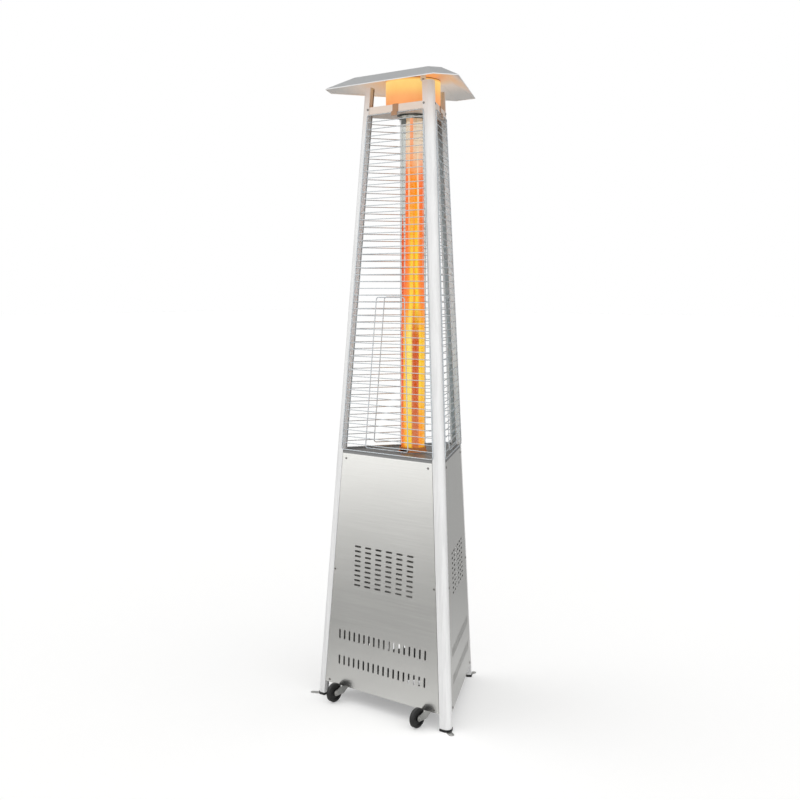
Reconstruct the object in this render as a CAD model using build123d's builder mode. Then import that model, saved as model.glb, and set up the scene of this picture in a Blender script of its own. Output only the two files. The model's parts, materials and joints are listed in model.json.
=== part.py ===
# Propane patio heater: a three-sided glass-tube flame heater.
# Frame: millimetres, +Z up, origin on the tube's axis at floor level.
# The side with the casters faces -Y, and the corner post opposite it stands at +Y.
from build123d import *
from math import atan, cos, radians, sin, sqrt
import os

os.makedirs("parts", exist_ok=True)

# Overall form
HEIGHT = 2337.0
FOOT_SPACING = 606.0
TOP_SPACING = 272.0
CANOPY_ACROSS = 598.0

# Sheet and clearances
PANEL_SHEET = 1.2
FRAME_SHEET = 1.5
SEAT_GAP = 0.3
CUT_OVERRUN = 2.0
RUNNING_GAP = 0.06

# Corner posts: a rounded nose with two legs, each turned in by a return
NOSE_RADIUS = 18.0
POST_LEG = 18.0
POST_RETURN = 16.0
POST_DROP = 40.0
POST_LID = 3.0
FOOT_CAP_HEIGHT = 9.0
FOOT_CAP_WALL = 1.2
FOOT_CAP_GAP = 0.2

# Ground anchor tabs under the posts
ANCHOR_WIDTH = 20.0
ANCHOR_THICK = 2.5
ANCHOR_REACH = 35.0
ANCHOR_TAIL = 8.0
ANCHOR_HOLE_RADIUS = 4.0
ANCHOR_HOLE_EDGE = 13.0

# Cabinet levels
TRAY_BASE = 60.0
TRAY_FLANGE = 24.0
TRAY_VENT_RADIUS = 40.0
PANEL_BASE = 59.0
PANEL_TOP = 950.0
PANEL_SIDE_GAP = 1.8
DECK_RISE = 9.0
DECK_LIP = 4.0
RAIL_HEIGHT = 40.0
RAIL_SHELF = 22.0
FASCIA_HEIGHT = 180.0
DOOR_GAP = 3.0
DOOR_BASE = 62.0

# Tank locating ring on the tray
TANK_RING_RADIUS = 113.0
TANK_RING_HEIGHT = 30.0

# Louvre slots in the side panels
VENT_COLUMNS = 6
VENT_ROWS = 9
VENT_COLUMN_PITCH = 51.0
VENT_ROW_PITCH = 18.3
VENT_SLOT_LENGTH = 30.0
VENT_SLOT_WIDTH = 7.0
VENT_CENTRE = 530.5
GRILLE_COLUMNS = 18
GRILLE_PITCH = 24.6
GRILLE_SLOT_LENGTH = 36.0
GRILLE_SLOT_WIDTH = 8.0
GRILLE_UPPER_CENTRE = 257.0
GRILLE_LOWER_CENTRE = 157.5

# Sheet metal screws, given by distance in from the corner line and by height
SCREW_HEAD_RADIUS = 4.5
SCREW_HEAD_HEIGHT = 2.2
SCREW_HEAD_TAPER = 25.0
RECESS_REACH = 2.2
RECESS_WIDTH = 0.9
RECESS_DEPTH = 1.2
SCREW_RADIUS = 2.0
SCREW_LENGTH = 9.0
SCREW_HOLE_GAP = 0.1
TOP_SCREW_INSET = 38.5
TOP_SCREW_DROP = 19.0
MID_SCREW_INSET = 26.0
MID_SCREW_HEIGHT = 503.0
LOW_SCREW_INSET = 41.0
LOW_SCREW_RISE = 11.0
FASCIA_SCREW_RISE = 15.0
BRACKET_WIDTH = 15.5
BRACKET_HEIGHT = 24.0
BRACKET_DEPTH = 14.0

# Casters on the -Y side
WHEEL_RADIUS = 36.0
WHEEL_WIDTH = 16.0
WHEEL_RIDE = 1.5
WHEEL_SPREAD = 204.0
WHEEL_PANEL_GAP = 1.5
WHEEL_RIM_RADIUS = 27.0
WHEEL_WEB = 8.0
WHEEL_HUB_RADIUS = 11.0
WHEEL_EDGE = 2.0
AXLE_RADIUS = 4.0
AXLE_HEAD_RADIUS = 8.0
AXLE_HEAD_HEIGHT = 4.0
CASTER_PLATE = 3.0
CASTER_PLATE_NOSE = 11.0
CASTER_SIDE_GAP = 1.5
CASTER_FOOT_LENGTH = 46.0
CASTER_FOOT_WIDTH = 26.0
CASTER_FOOT_INSET = 8.0
CASTER_BOLT_RADIUS = 3.0
CASTER_BOLT_PITCH = 26.0
CASTER_BOLT_HEAD_RADIUS = 5.5
CASTER_BOLT_HEAD_HEIGHT = 3.0
CASTER_NUT_HEIGHT = 5.0
CASTER_BOLT_TAIL = 2.0

# Burner below the deck
BURNER_OPENING = 56.0
BURNER_CUP_RADIUS = 55.0
BURNER_CUP_DEPTH = 60.0
BURNER_FLANGE_RADIUS = 75.0
BURNER_SCREW_RADIUS = 66.0
BURNER_SCREW_COUNT = 3
VENTURI_RADIUS = 12.5
VENTURI_BORE = 11.0
VENTURI_SLOT = 12.0
BURNER_HEAD_RADIUS = 31.0
BURNER_HEAD_HEIGHT = 12.0
BURNER_HEAD_RISE = 8.0
BURNER_PORT_RADIUS = 1.6
BURNER_PORT_RINGS = 3
BURNER_PORTS_PER_RING = 12
AIR_HOLE_RADIUS = 6.0
AIR_HOLE_COUNT = 8
AIR_HOLE_CIRCLE = 26.0
INJECTOR_RADIUS = 6.0
INJECTOR_HEX = 9.0
INJECTOR_HEX_HEIGHT = 8.0
INJECTOR_TIP_HEIGHT = 12.0
INJECTOR_BORE = 1.0

# Glass tube, its seat on the deck and its ring under the upper plate
TUBE_RADIUS = 48.0
TUBE_WALL = 3.0
TUBE_BASE_RISE = 12.0
TUBE_TOP_GAP = 5.0
TUBE_GAP = 0.4
SEAT_RADIUS = 72.0
SEAT_WALL_GRIP = 7.0
SEAT_LEDGE = 4.0
SEAT_WINDOW_ANGLE = 75.0
SEAT_WINDOW_AZIMUTH = -107.0
RING_WALL = 2.0
RING_HEIGHT = 15.0
RING_FLANGE = 9.0
RING_CLIP_WIDTH = 24.0
RING_CLIP_DROP = 22.0
RING_CLIP_AZIMUTH = -95.0

# Upper plate between the post tops
UPPER_PLATE_DROP = 99.0
UPPER_FLANGE = 30.0
UPPER_TAB_INSET = 7.0
UPPER_SCREW_INSET = 12.5
UPPER_SCREW_RISE = 22.0
UPPER_NOTCH_GAP = 1.5
UPPER_HOLE_RADIUS = 46.0

# Flame screen between the upper plate and the canopy
SCREEN_RADIUS = 100.0
SCREEN_WALL = 1.0
SCREEN_TOP_GAP = 13.5
CLIP_WIDTH = 26.0
CLIP_TONGUE_WIDTH = 18.0
CLIP_TONGUE_RISE = 26.0
CLIP_TONGUE_GAP = 0.8
CLIP_HOOK_DROP = 42.0
CLIP_HOOK_GAP = 0.4

# Wire guards
GUARD_FRAME_WIRE = 4.0
GUARD_WIRE = 3.0
GUARD_BRACE_WIRE = 3.6
GUARD_BASE_RISE = 5.0
GUARD_TOP_LAP = 1.0
GUARD_PITCH = 25.2
GUARD_INSET = 14.0
GUARD_CORNER_RADIUS = 9.0
GUARD_GAP = 0.2
GUARD_WELD = 0.6
BRACE_HEIGHT = 557.0
BRACE_BASE_RISE = 15.0
BRACE_TOP_HALF = 67.0
BRACE_BASE_HALF = 103.0
BRACE_CORNER_RADIUS = 10.0

# Canopy: a flat top with three long and three short flaps and a turned rim
CANOPY_CORNER_CUT = 92.0
CANOPY_DROP = 41.0
CANOPY_FLAP_WIDTH = 71.0
CANOPY_TOP_CUT = 50.0
CANOPY_RIM = 3.0
CANOPY_SHEET = 1.5
CANOPY_BRACKET_WIDTH = 20.0
CANOPY_BRACKET_REACH = 32.0
CANOPY_BRACKET_DROP = 16.0
CANOPY_BRACKET_SHEET = 2.0
CANOPY_BOLT_SET = 18.0
CANOPY_BOLT_RADIUS = 3.0
CANOPY_BOLT_HEAD_RADIUS = 7.0
CANOPY_BOLT_HEAD_HEIGHT = 3.0
CANOPY_NUT_RADIUS = 5.8
CANOPY_NUT_HEIGHT = 5.0
CANOPY_BOLT_TAIL = 2.0
CANOPY_RIVET_RADIUS = 2.0
CANOPY_RIVET_HEAD_RADIUS = 4.0
CANOPY_RIVET_HEAD_HEIGHT = 1.5
CANOPY_RIVET_RISE = 10.0
SCREEN_BRACKET_GAP = 0.1
RIVET_CURVE_GAP = 0.1

# Gas control behind the fascia; offsets are along the fascia from its middle
CONTROL_DROP = 88.0
VALVE_OFFSET = -60.0
VALVE_WIDTH = 52.0
VALVE_HEIGHT = 40.0
VALVE_DEPTH = 42.0
VALVE_EDGE = 3.0
STEM_RADIUS = 4.0
STEM_COLLAR_RADIUS = 7.0
STEM_COLLAR_LENGTH = 4.0
STEM_SEAT_DEPTH = 20.0
STEM_REACH = 19.0
FASCIA_HOLE_GAP = 2.0
KNOB_RADIUS = 23.0
KNOB_TIP_RADIUS = 19.0
KNOB_STANDOFF = 6.0
KNOB_HEIGHT = 22.0
KNOB_GRIP_WIDTH = 9.0
KNOB_GRIP_RISE = 6.0
KNOB_TRAVEL = 4.0
KNOB_EDGE = 1.5
INLET_RADIUS = 7.94
INLET_LENGTH = 16.0
INLET_COLLAR_RADIUS = 10.5
INLET_COLLAR_LENGTH = 8.0
INLET_BORE = 4.0
IGNITER_OFFSET = 60.0
IGNITER_BODY_RADIUS = 11.0
IGNITER_BODY_DEPTH = 42.0
IGNITER_BEZEL_RADIUS = 15.0
IGNITER_BEZEL_HEIGHT = 3.0
IGNITER_NECK_RADIUS = 9.5
BUTTON_RADIUS = 7.5
BUTTON_DEPTH = 12.0
BUTTON_RISE = 6.0
BUTTON_SIDE_GAP = 0.3
BUTTON_TRAVEL = 4.0
PIPE_RADIUS = 4.0
PIPE_BEND = 14.0
PILOT_PIPE_RADIUS = 2.0
LEAD_RADIUS = 1.6
LEAD_BEND = 10.0
LEAD_STRAIGHT = 24.0
PILOT_OFFSET = 38.5
PILOT_BLOCK = 9.0
PILOT_RISE = 9.0
PROBE_RADIUS = 2.2
PROBE_SPACING = 9.5
PROBE_TAIL = 5.0
LEAD_RISE = 18.0
LEAD_START_SPACING = 10.0
TILT_WIDTH = 34.0
TILT_DEPTH = 22.0
TILT_HEIGHT = 40.0
TILT_OFFSET = 225.0

# Access door on the control side
HINGE_HEIGHT = 54.0
HINGE_LOW_RISE = 108.0
HINGE_HIGH_DROP = 110.0
HINGE_KNUCKLE_RADIUS = 3.2
HINGE_PIN_RADIUS = 1.6
HINGE_LIFT = 3.6
HINGE_SLIT = 0.4
HINGE_LEAF = 1.2
POST_LEAF_INSET = 3.5
DOOR_LEAF_WIDTH = 20.0
HANDLE_INSET = 48.0
HANDLE_RISE = 368.0
HANDLE_RADIUS = 13.0
HANDLE_NECK_RADIUS = 6.0
HANDLE_NECK = 9.0
HANDLE_GRIP = 12.0
HANDLE_EDGE = 2.5
CATCH_LENGTH = 34.0
CATCH_WIDTH = 14.0
CATCH_DEPTH = 11.0

# Azimuths of the three faces and of the three corners, in degrees
CASTER_FACE = -90.0
RIGHT_FACE = 30.0
CONTROL_FACE = 150.0
FACES = {"caster": CASTER_FACE, "right": RIGHT_FACE, "control": CONTROL_FACE}
CORNERS = {"left": 210.0, "right": -30.0, "rear": 90.0}
CORNER_ORDER = ("right", "rear", "left")

# Worked out from the sizes above
SPREAD_RATE = (FOOT_SPACING - TOP_SPACING) / HEIGHT
LEAN = atan(SPREAD_RATE / (2 * sqrt(3)))
HALF_CORNER = radians(30.0)
POST_TOP = HEIGHT - POST_DROP
UPPER_PLATE_BASE = POST_TOP - UPPER_PLATE_DROP
UPPER_SCREW_HEIGHT = UPPER_PLATE_BASE + UPPER_SCREW_RISE
SCREEN_TOP = HEIGHT - CANOPY_SHEET - SCREEN_TOP_GAP
TUBE_TOP = UPPER_PLATE_BASE - TUBE_TOP_GAP
GUARD_TOP = UPPER_PLATE_BASE + GUARD_TOP_LAP
DECK_TOP = PANEL_TOP + DECK_RISE
BURNER_HEAD_TOP = DECK_TOP + BURNER_HEAD_RISE
TUBE_BASE = DECK_TOP + TUBE_BASE_RISE
SEAT_WALL_TOP = TUBE_BASE + SEAT_WALL_GRIP
GUARD_BASE = DECK_TOP + GUARD_BASE_RISE
BRACE_BASE = GUARD_BASE + BRACE_BASE_RISE
BRACE_TOP = BRACE_BASE + BRACE_HEIGHT
FASCIA_BASE = PANEL_TOP - FASCIA_HEIGHT
CONTROL_HEIGHT = PANEL_TOP - CONTROL_DROP
LEAD_LEVEL = CONTROL_HEIGHT + LEAD_RISE
TOP_SCREW_HEIGHT = PANEL_TOP - TOP_SCREW_DROP
FASCIA_SCREW_HEIGHT = FASCIA_BASE + FASCIA_SCREW_RISE
LOW_SCREW_HEIGHT = PANEL_BASE + LOW_SCREW_RISE
HANDLE_HEIGHT = DOOR_BASE + HANDLE_RISE
HINGE_LOW = DOOR_BASE + HINGE_LOW_RISE
HINGE_HIGH = FASCIA_BASE - HINGE_HIGH_DROP
RIM_TOP = HEIGHT - CANOPY_DROP
FLAT_UNDERSIDE = HEIGHT - CANOPY_SHEET
SHELF_TOP = DECK_TOP - FRAME_SHEET
BACK_OF_PANEL = PANEL_SHEET
DOOR_TOP = FASCIA_BASE - DOOR_GAP
FLANGE_TOP = UPPER_PLATE_BASE + UPPER_FLANGE
BRACKET_BACK = SCREEN_RADIUS + SCREEN_BRACKET_GAP
BRACKET_FRONT = BRACKET_BACK + CANOPY_BRACKET_SHEET
BRACKET_TOP = FLAT_UNDERSIDE - CANOPY_BRACKET_SHEET
CANOPY_BOLT_CIRCLE = BRACKET_BACK + CANOPY_BOLT_SET
RIVET_HEIGHT = SCREEN_TOP - CANOPY_RIVET_RISE
CLIP_SHELF = FLANGE_TOP + SEAT_GAP
SCREEN_BASE = CLIP_SHELF + FRAME_SHEET
GUARD_DEPTH = -(GUARD_FRAME_WIRE / 2 + GUARD_GAP)


def spacing(height):
    """Distance between the centres of two post noses at a height."""
    return FOOT_SPACING - SPREAD_RATE * height


def corner_radius(height):
    """Distance from the axis to a post's nose centre at a height."""
    return spacing(height) / sqrt(3)


def face_distance(height):
    """Distance from the axis to a face's outer plane at a height."""
    return spacing(height) / (2 * sqrt(3)) + NOSE_RADIUS


def around(azimuth, radius, height):
    """A point given by its azimuth, its distance from the axis and its height."""
    angle = radians(azimuth)
    return Vector(radius * cos(angle), radius * sin(angle), height)


def face_plane(azimuth, depth):
    """A face's leaning plane, moved in by depth: x along the face, y up the slope, z outward."""
    angle = radians(azimuth)
    normal = Vector(cos(angle) * cos(LEAN), sin(angle) * cos(LEAN), sin(LEAN))
    foot = around(azimuth, face_distance(0), 0)
    return Plane(origin=foot - normal * depth, x_dir=(-sin(angle), cos(angle), 0), z_dir=normal)


def climb(height, depth):
    """A height written as the y coordinate of a face plane at that depth."""
    return (height + depth * sin(LEAN)) / cos(LEAN)


def edge_point(height, inset, side, depth):
    """A point on a face plane, inset from the corner line on one side."""
    return (side * (spacing(height) / 2 - inset), climb(height, depth))


def face_band(low, high, inset, depth):
    """The four corners of a band that fills a face between two heights."""
    return [
        edge_point(low, inset, -1, depth),
        edge_point(low, inset, 1, depth),
        edge_point(high, inset, 1, depth),
        edge_point(high, inset, -1, depth),
    ]


def side_strip(low, high, outer_inset, inner_inset, side, depth):
    """The four corners of an upright strip beside one corner line."""
    return [
        edge_point(low, outer_inset, side, depth),
        edge_point(low, inner_inset, side, depth),
        edge_point(high, inner_inset, side, depth),
        edge_point(high, outer_inset, side, depth),
    ]


def spot_plane(azimuth, depth, along, height):
    """A face plane with its origin at a spot on it."""
    base = face_plane(azimuth, depth)
    spot = base.from_local_coords((along, climb(height, depth), 0))
    return Plane(origin=spot, x_dir=base.x_dir, z_dir=base.z_dir)


def corner_plane(azimuth, height):
    """A level plane at a post: x points outward along the corner's bisector."""
    angle = radians(azimuth)
    spot = around(azimuth, corner_radius(height), height)
    return Plane(origin=spot, x_dir=(cos(angle), sin(angle), 0), z_dir=(0, 0, 1))


def corner_run(azimuth, low, high):
    """The vector along a corner line from one height to another."""
    return around(azimuth, corner_radius(high), high) - around(azimuth, corner_radius(low), low)


def leg_point(run, out, side):
    """A point on a corner plane: run along a leg from the nose centre, out from it to the face."""
    across = run * sin(HALF_CORNER) + out * cos(HALF_CORNER)
    return (-run * cos(HALF_CORNER) + out * sin(HALF_CORNER), side * across)


def plate_points(height, depth, inset, corner_out):
    """A level plate's outline between the three posts, clear of the posts' returns."""
    points = []
    level_depth = depth / cos(LEAN)
    for name in CORNER_ORDER:
        frame = corner_plane(CORNERS[name], height)
        for out, side in (
            (NOSE_RADIUS - level_depth, -1),
            (corner_out, -1),
            (corner_out, 1),
            (NOSE_RADIUS - level_depth, 1),
        ):
            x, y = leg_point(inset, out, side)
            world = frame.from_local_coords((x, y, 0))
            points.append((world.X, world.Y))
    return points


def polygon(points):
    """A filled outline inside the sketch that is being built."""
    Polygon(*points, align=None)


def cut_corner_triangle(side, cut):
    """An upright triangle of a given side with its three corners cut to a length."""
    points = []
    tip = side / sqrt(3)
    for name in CORNER_ORDER:
        angle = radians(CORNERS[name])
        for hand in (-1, 1):
            out = tip - cut * cos(HALF_CORNER)
            across = hand * cut * sin(HALF_CORNER)
            points.append((out * cos(angle) - across * sin(angle), out * sin(angle) + across * cos(angle)))
    return points


def save(name, builder):
    """Label a finished piece and write it under its own name."""
    builder.part.label = name
    export_step(builder.part, f"parts/{name}.step")


# Corner posts


def post_outline():
    """The folded sheet of a post, drawn on a corner plane."""
    inner = NOSE_RADIUS - FRAME_SHEET
    back = POST_LEG - FRAME_SHEET
    tip = NOSE_RADIUS - POST_RETURN
    with BuildLine() as outline:
        for side in (-1, 1):
            Polyline(
                leg_point(0, NOSE_RADIUS, side),
                leg_point(POST_LEG, NOSE_RADIUS, side),
                leg_point(POST_LEG, tip, side),
                leg_point(back, tip, side),
                leg_point(back, inner, side),
                leg_point(0, inner, side),
            )
        ThreePointArc(leg_point(0, NOSE_RADIUS, -1), (NOSE_RADIUS, 0), leg_point(0, NOSE_RADIUS, 1))
        ThreePointArc(leg_point(0, inner, -1), (inner, 0), leg_point(0, inner, 1))
    make_face(outline.edges())


def filled_post_outline(grow):
    """The space that a post fills with its hollow, grown all round."""
    reach = NOSE_RADIUS + grow
    leg = POST_LEG + grow
    tip = NOSE_RADIUS - POST_RETURN - grow
    with BuildLine() as outline:
        ThreePointArc(leg_point(0, reach, -1), (reach, 0), leg_point(0, reach, 1))
        Polyline(
            leg_point(0, reach, 1),
            leg_point(leg, reach, 1),
            leg_point(leg, tip, 1),
            leg_point(leg, tip, -1),
            leg_point(leg, reach, -1),
            leg_point(0, reach, -1),
        )
    make_face(outline.edges())


def faces_beside(corner):
    """The two faces that meet at a corner, each with the side of the face that the corner is on."""
    azimuth = CORNERS[corner]
    pairs = []
    for face in FACES.values():
        turn = (azimuth - face + 180.0) % 360.0 - 180.0
        if abs(turn) < 90.0:
            pairs.append((face, 1 if turn > 0 else -1))
    return pairs


def screw_hole(azimuth, side, inset, height, depth_in):
    """Cut a clearance hole for a sheet metal screw through what is being built."""
    along = side * (spacing(height) / 2 - inset)
    with BuildSketch(spot_plane(azimuth, -CUT_OVERRUN, along, height)) as hole:
        Circle(SCREW_RADIUS + SCREW_HOLE_GAP)
    extrude(hole.sketch, amount=-(depth_in + 2 * CUT_OVERRUN), mode=Mode.SUBTRACT)


for corner in CORNER_ORDER:
    azimuth = CORNERS[corner]
    notch_low = UPPER_PLATE_BASE - UPPER_NOTCH_GAP
    notch_high = UPPER_PLATE_BASE + UPPER_FLANGE + UPPER_NOTCH_GAP
    notch_depth = 2 * FRAME_SHEET + SEAT_GAP
    run = corner_run(azimuth, ANCHOR_THICK, POST_TOP)
    with BuildPart() as corner_post:
        with BuildSketch(corner_plane(azimuth, ANCHOR_THICK)):
            post_outline()
        extrude(amount=run.length, dir=run)
        # The lid that closes the post's top
        with BuildSketch(corner_plane(azimuth, POST_TOP)):
            filled_post_outline(0)
        extrude(amount=POST_LID)
        # Slots in the returns for the upper plate's tabs, and their screw holes
        for face, side in faces_beside(corner):
            with BuildSketch(face_plane(face, notch_depth)):
                polygon(
                    side_strip(
                        notch_low,
                        notch_high,
                        POST_LEG - FRAME_SHEET - SEAT_GAP,
                        POST_LEG + CUT_OVERRUN,
                        side,
                        notch_depth,
                    )
                )
            extrude(amount=notch_depth - FRAME_SHEET, mode=Mode.SUBTRACT)
            screw_hole(face, side, UPPER_SCREW_INSET, UPPER_SCREW_HEIGHT, FRAME_SHEET)
    save(f"corner_post_{corner}", corner_post)

    cap_run = corner_run(azimuth, ANCHOR_THICK, FOOT_CAP_HEIGHT + CUT_OVERRUN)
    with BuildPart() as foot_cap:
        with BuildSketch(corner_plane(azimuth, 0)):
            filled_post_outline(FOOT_CAP_WALL)
        extrude(amount=FOOT_CAP_HEIGHT)
        with BuildSketch(corner_plane(azimuth, ANCHOR_THICK)):
            filled_post_outline(FOOT_CAP_GAP)
        extrude(amount=cap_run.length, dir=cap_run, mode=Mode.SUBTRACT)
        # The slot that the anchor tab runs out through
        slot_length = ANCHOR_TAIL + NOSE_RADIUS + FOOT_CAP_WALL + CUT_OVERRUN + SEAT_GAP
        slot_plane = corner_plane(azimuth, 0)
        with BuildSketch(slot_plane):
            with Locations((slot_length / 2 - ANCHOR_TAIL - SEAT_GAP, 0)):
                Rectangle(slot_length, ANCHOR_WIDTH + 2 * SEAT_GAP)
        extrude(amount=ANCHOR_THICK, mode=Mode.SUBTRACT)
    save(f"foot_cap_{corner}", foot_cap)

    tab_end = NOSE_RADIUS + ANCHOR_REACH
    tab_length = tab_end + ANCHOR_TAIL
    with BuildPart() as anchor_tab:
        with BuildSketch(corner_plane(azimuth, 0)) as tab_sketch:
            with Locations((tab_end - tab_length / 2, 0)):
                Rectangle(tab_length, ANCHOR_WIDTH)
            outer_corners = tab_sketch.vertices().sort_by(SortBy.DISTANCE)[-2:]
            fillet(outer_corners, ANCHOR_WIDTH / 2 - SEAT_GAP)
            with Locations((tab_end - ANCHOR_HOLE_EDGE, 0)):
                Circle(ANCHOR_HOLE_RADIUS, mode=Mode.SUBTRACT)
        extrude(amount=ANCHOR_THICK)
    save(f"anchor_tab_{corner}", anchor_tab)


# Base tray, with a turned-up flange behind each panel

CORNER_TIP = NOSE_RADIUS - POST_RETURN - 1.5 * SEAT_GAP
BETWEEN_POSTS = POST_LEG + SEAT_GAP
PANEL_EDGE = POST_LEG + PANEL_SIDE_GAP


def flange(azimuth, low, high, inset, depth):
    """An upright flange along a face, its outer side at a depth."""
    back = depth + FRAME_SHEET
    with BuildSketch(face_plane(azimuth, back)) as band:
        polygon(face_band(low, high, inset, back))
    extrude(band.sketch, amount=FRAME_SHEET)


CASTER_FOOT_Y = -(face_distance(TRAY_BASE) - CASTER_FOOT_INSET)
CASTER_PLATE_OFFSET = WHEEL_WIDTH / 2 + CASTER_SIDE_GAP


def caster_bolt_spots():
    """Where the bolts stand that hold the casters' brackets under the tray."""
    spots = []
    for side in (-1, 1):
        x = side * WHEEL_SPREAD + CASTER_PLATE_OFFSET + (CASTER_PLATE + CASTER_FOOT_WIDTH) / 2
        for hand in (-1, 1):
            spots.append((x, CASTER_FOOT_Y + (CASTER_FOOT_LENGTH + hand * CASTER_BOLT_PITCH) / 2))
    return spots


with BuildPart() as base_tray:
    with BuildSketch(Plane.XY.offset(TRAY_BASE)):
        polygon(plate_points(TRAY_BASE + FRAME_SHEET, BACK_OF_PANEL, BETWEEN_POSTS, CORNER_TIP))
        Circle(TRAY_VENT_RADIUS, mode=Mode.SUBTRACT)
        with Locations(*caster_bolt_spots()):
            Circle(CASTER_BOLT_RADIUS + SCREW_HOLE_GAP, mode=Mode.SUBTRACT)
    extrude(amount=FRAME_SHEET)
    for azimuth in FACES.values():
        flange(azimuth, TRAY_BASE, TRAY_BASE + TRAY_FLANGE, BETWEEN_POSTS, BACK_OF_PANEL)
    for azimuth in (CASTER_FACE, RIGHT_FACE):
        for side in (-1, 1):
            screw_hole(azimuth, side, LOW_SCREW_INSET, LOW_SCREW_HEIGHT, BACK_OF_PANEL + FRAME_SHEET)
save("base_tray", base_tray)

with BuildPart() as tank_ring:
    with BuildSketch(Plane.XY.offset(TRAY_BASE + FRAME_SHEET)):
        Circle(TANK_RING_RADIUS)
        Circle(TANK_RING_RADIUS - FRAME_SHEET, mode=Mode.SUBTRACT)
    extrude(amount=TANK_RING_HEIGHT)
save("tank_ring", tank_ring)


# Side panels with their louvre slots


def slot_rows(centre, rows, pitch):
    """The heights of rows of slots about a centre height."""
    return [centre + (row - (rows - 1) / 2) * pitch for row in range(rows)]


def vented_sheet(azimuth, low, high, vent_rows):
    """A slotted sheet that fills a face between two heights."""
    back = PANEL_SHEET
    with BuildSketch(face_plane(azimuth, back)) as sheet:
        polygon(face_band(low, high, PANEL_EDGE, back))
        for height in slot_rows(VENT_CENTRE, vent_rows, VENT_ROW_PITCH):
            with Locations((0, climb(height, back))):
                with GridLocations(VENT_COLUMN_PITCH, 0, VENT_COLUMNS, 1):
                    SlotOverall(VENT_SLOT_LENGTH, VENT_SLOT_WIDTH, mode=Mode.SUBTRACT)
        for height in (GRILLE_LOWER_CENTRE, GRILLE_UPPER_CENTRE):
            with Locations((0, climb(height, back))):
                with GridLocations(GRILLE_PITCH, 0, GRILLE_COLUMNS, 1):
                    SlotOverall(GRILLE_SLOT_LENGTH, GRILLE_SLOT_WIDTH, rotation=90.0, mode=Mode.SUBTRACT)
    extrude(sheet.sketch, amount=PANEL_SHEET)


for name, azimuth in (("caster_side_panel", CASTER_FACE), ("right_side_panel", RIGHT_FACE)):
    with BuildPart() as side_panel:
        vented_sheet(azimuth, PANEL_BASE, PANEL_TOP, VENT_ROWS)
        for side in (-1, 1):
            screw_hole(azimuth, side, TOP_SCREW_INSET, TOP_SCREW_HEIGHT, PANEL_SHEET)
            screw_hole(azimuth, side, MID_SCREW_INSET, MID_SCREW_HEIGHT, PANEL_SHEET)
            screw_hole(azimuth, side, LOW_SCREW_INSET, LOW_SCREW_HEIGHT, PANEL_SHEET)
    save(name, side_panel)


# Deck rails: angles behind the panels' top edges that carry the deck

for name, azimuth in FACES.items():
    rail_low = SHELF_TOP - RAIL_HEIGHT
    shelf_out = face_distance(SHELF_TOP) - BACK_OF_PANEL / cos(LEAN)
    half_length = spacing(SHELF_TOP) / 2 - BETWEEN_POSTS
    shelf_plane = Plane(
        origin=around(azimuth, shelf_out - RAIL_SHELF / 2, SHELF_TOP - FRAME_SHEET),
        x_dir=around(azimuth, 1, 0),
        z_dir=(0, 0, 1),
    )
    with BuildPart() as deck_rail:
        flange(azimuth, rail_low, SHELF_TOP - FRAME_SHEET / 2, BETWEEN_POSTS, BACK_OF_PANEL)
        with BuildSketch(shelf_plane):
            Rectangle(RAIL_SHELF, 2 * half_length)
        extrude(amount=FRAME_SHEET)
        for side in (-1, 1):
            screw_hole(azimuth, side, TOP_SCREW_INSET, TOP_SCREW_HEIGHT, BACK_OF_PANEL + FRAME_SHEET)
            with BuildSketch(shelf_plane.offset(-CUT_OVERRUN)):
                with Locations((0, side * half_length / 2)):
                    Circle(SCREW_RADIUS + SCREW_HOLE_GAP)
            extrude(amount=FRAME_SHEET + 2 * CUT_OVERRUN, mode=Mode.SUBTRACT)
    save(f"deck_rail_{name}", deck_rail)


def deck_screw_spots():
    """The places of the screws that hold the deck to its rails, as points in plan."""
    shelf_middle = face_distance(SHELF_TOP) - BACK_OF_PANEL / cos(LEAN) - RAIL_SHELF / 2
    half_length = spacing(SHELF_TOP) / 2 - BETWEEN_POSTS
    spots = []
    for azimuth in FACES.values():
        angle = radians(azimuth)
        for side in (-1, 1):
            along = side * half_length / 2
            x = shelf_middle * cos(angle) - along * sin(angle)
            y = shelf_middle * sin(angle) + along * cos(angle)
            spots.append((x, y))
    return spots


def burner_screw_spots():
    """The places of the screws that hold the tube seat and the burner to the deck."""
    spots = []
    for index in range(BURNER_SCREW_COUNT):
        azimuth = CASTER_FACE + 360.0 * index / BURNER_SCREW_COUNT
        spots.append(around(azimuth, BURNER_SCREW_RADIUS, 0))
    return spots


with BuildPart() as deck_plate:
    with BuildSketch(Plane.XY.offset(SHELF_TOP)):
        polygon(plate_points(DECK_TOP, BACK_OF_PANEL, BETWEEN_POSTS, CORNER_TIP))
        Circle(BURNER_OPENING, mode=Mode.SUBTRACT)
        with Locations(*deck_screw_spots()):
            Circle(SCREW_RADIUS + SCREW_HOLE_GAP, mode=Mode.SUBTRACT)
        with Locations(*[(spot.X, spot.Y) for spot in burner_screw_spots()]):
            Circle(SCREW_RADIUS + SCREW_HOLE_GAP, mode=Mode.SUBTRACT)
    extrude(amount=FRAME_SHEET)
    for azimuth in FACES.values():
        flange(azimuth, SHELF_TOP, DECK_TOP + DECK_LIP, BETWEEN_POSTS, BACK_OF_PANEL)
save("deck_plate", deck_plate)


# Tube seat: a flat ring on the deck with a wall round the tube's foot and a ledge under it

SEAT_BORE = TUBE_RADIUS + TUBE_GAP
SEAT_OUTER = SEAT_BORE + FRAME_SHEET

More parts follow.
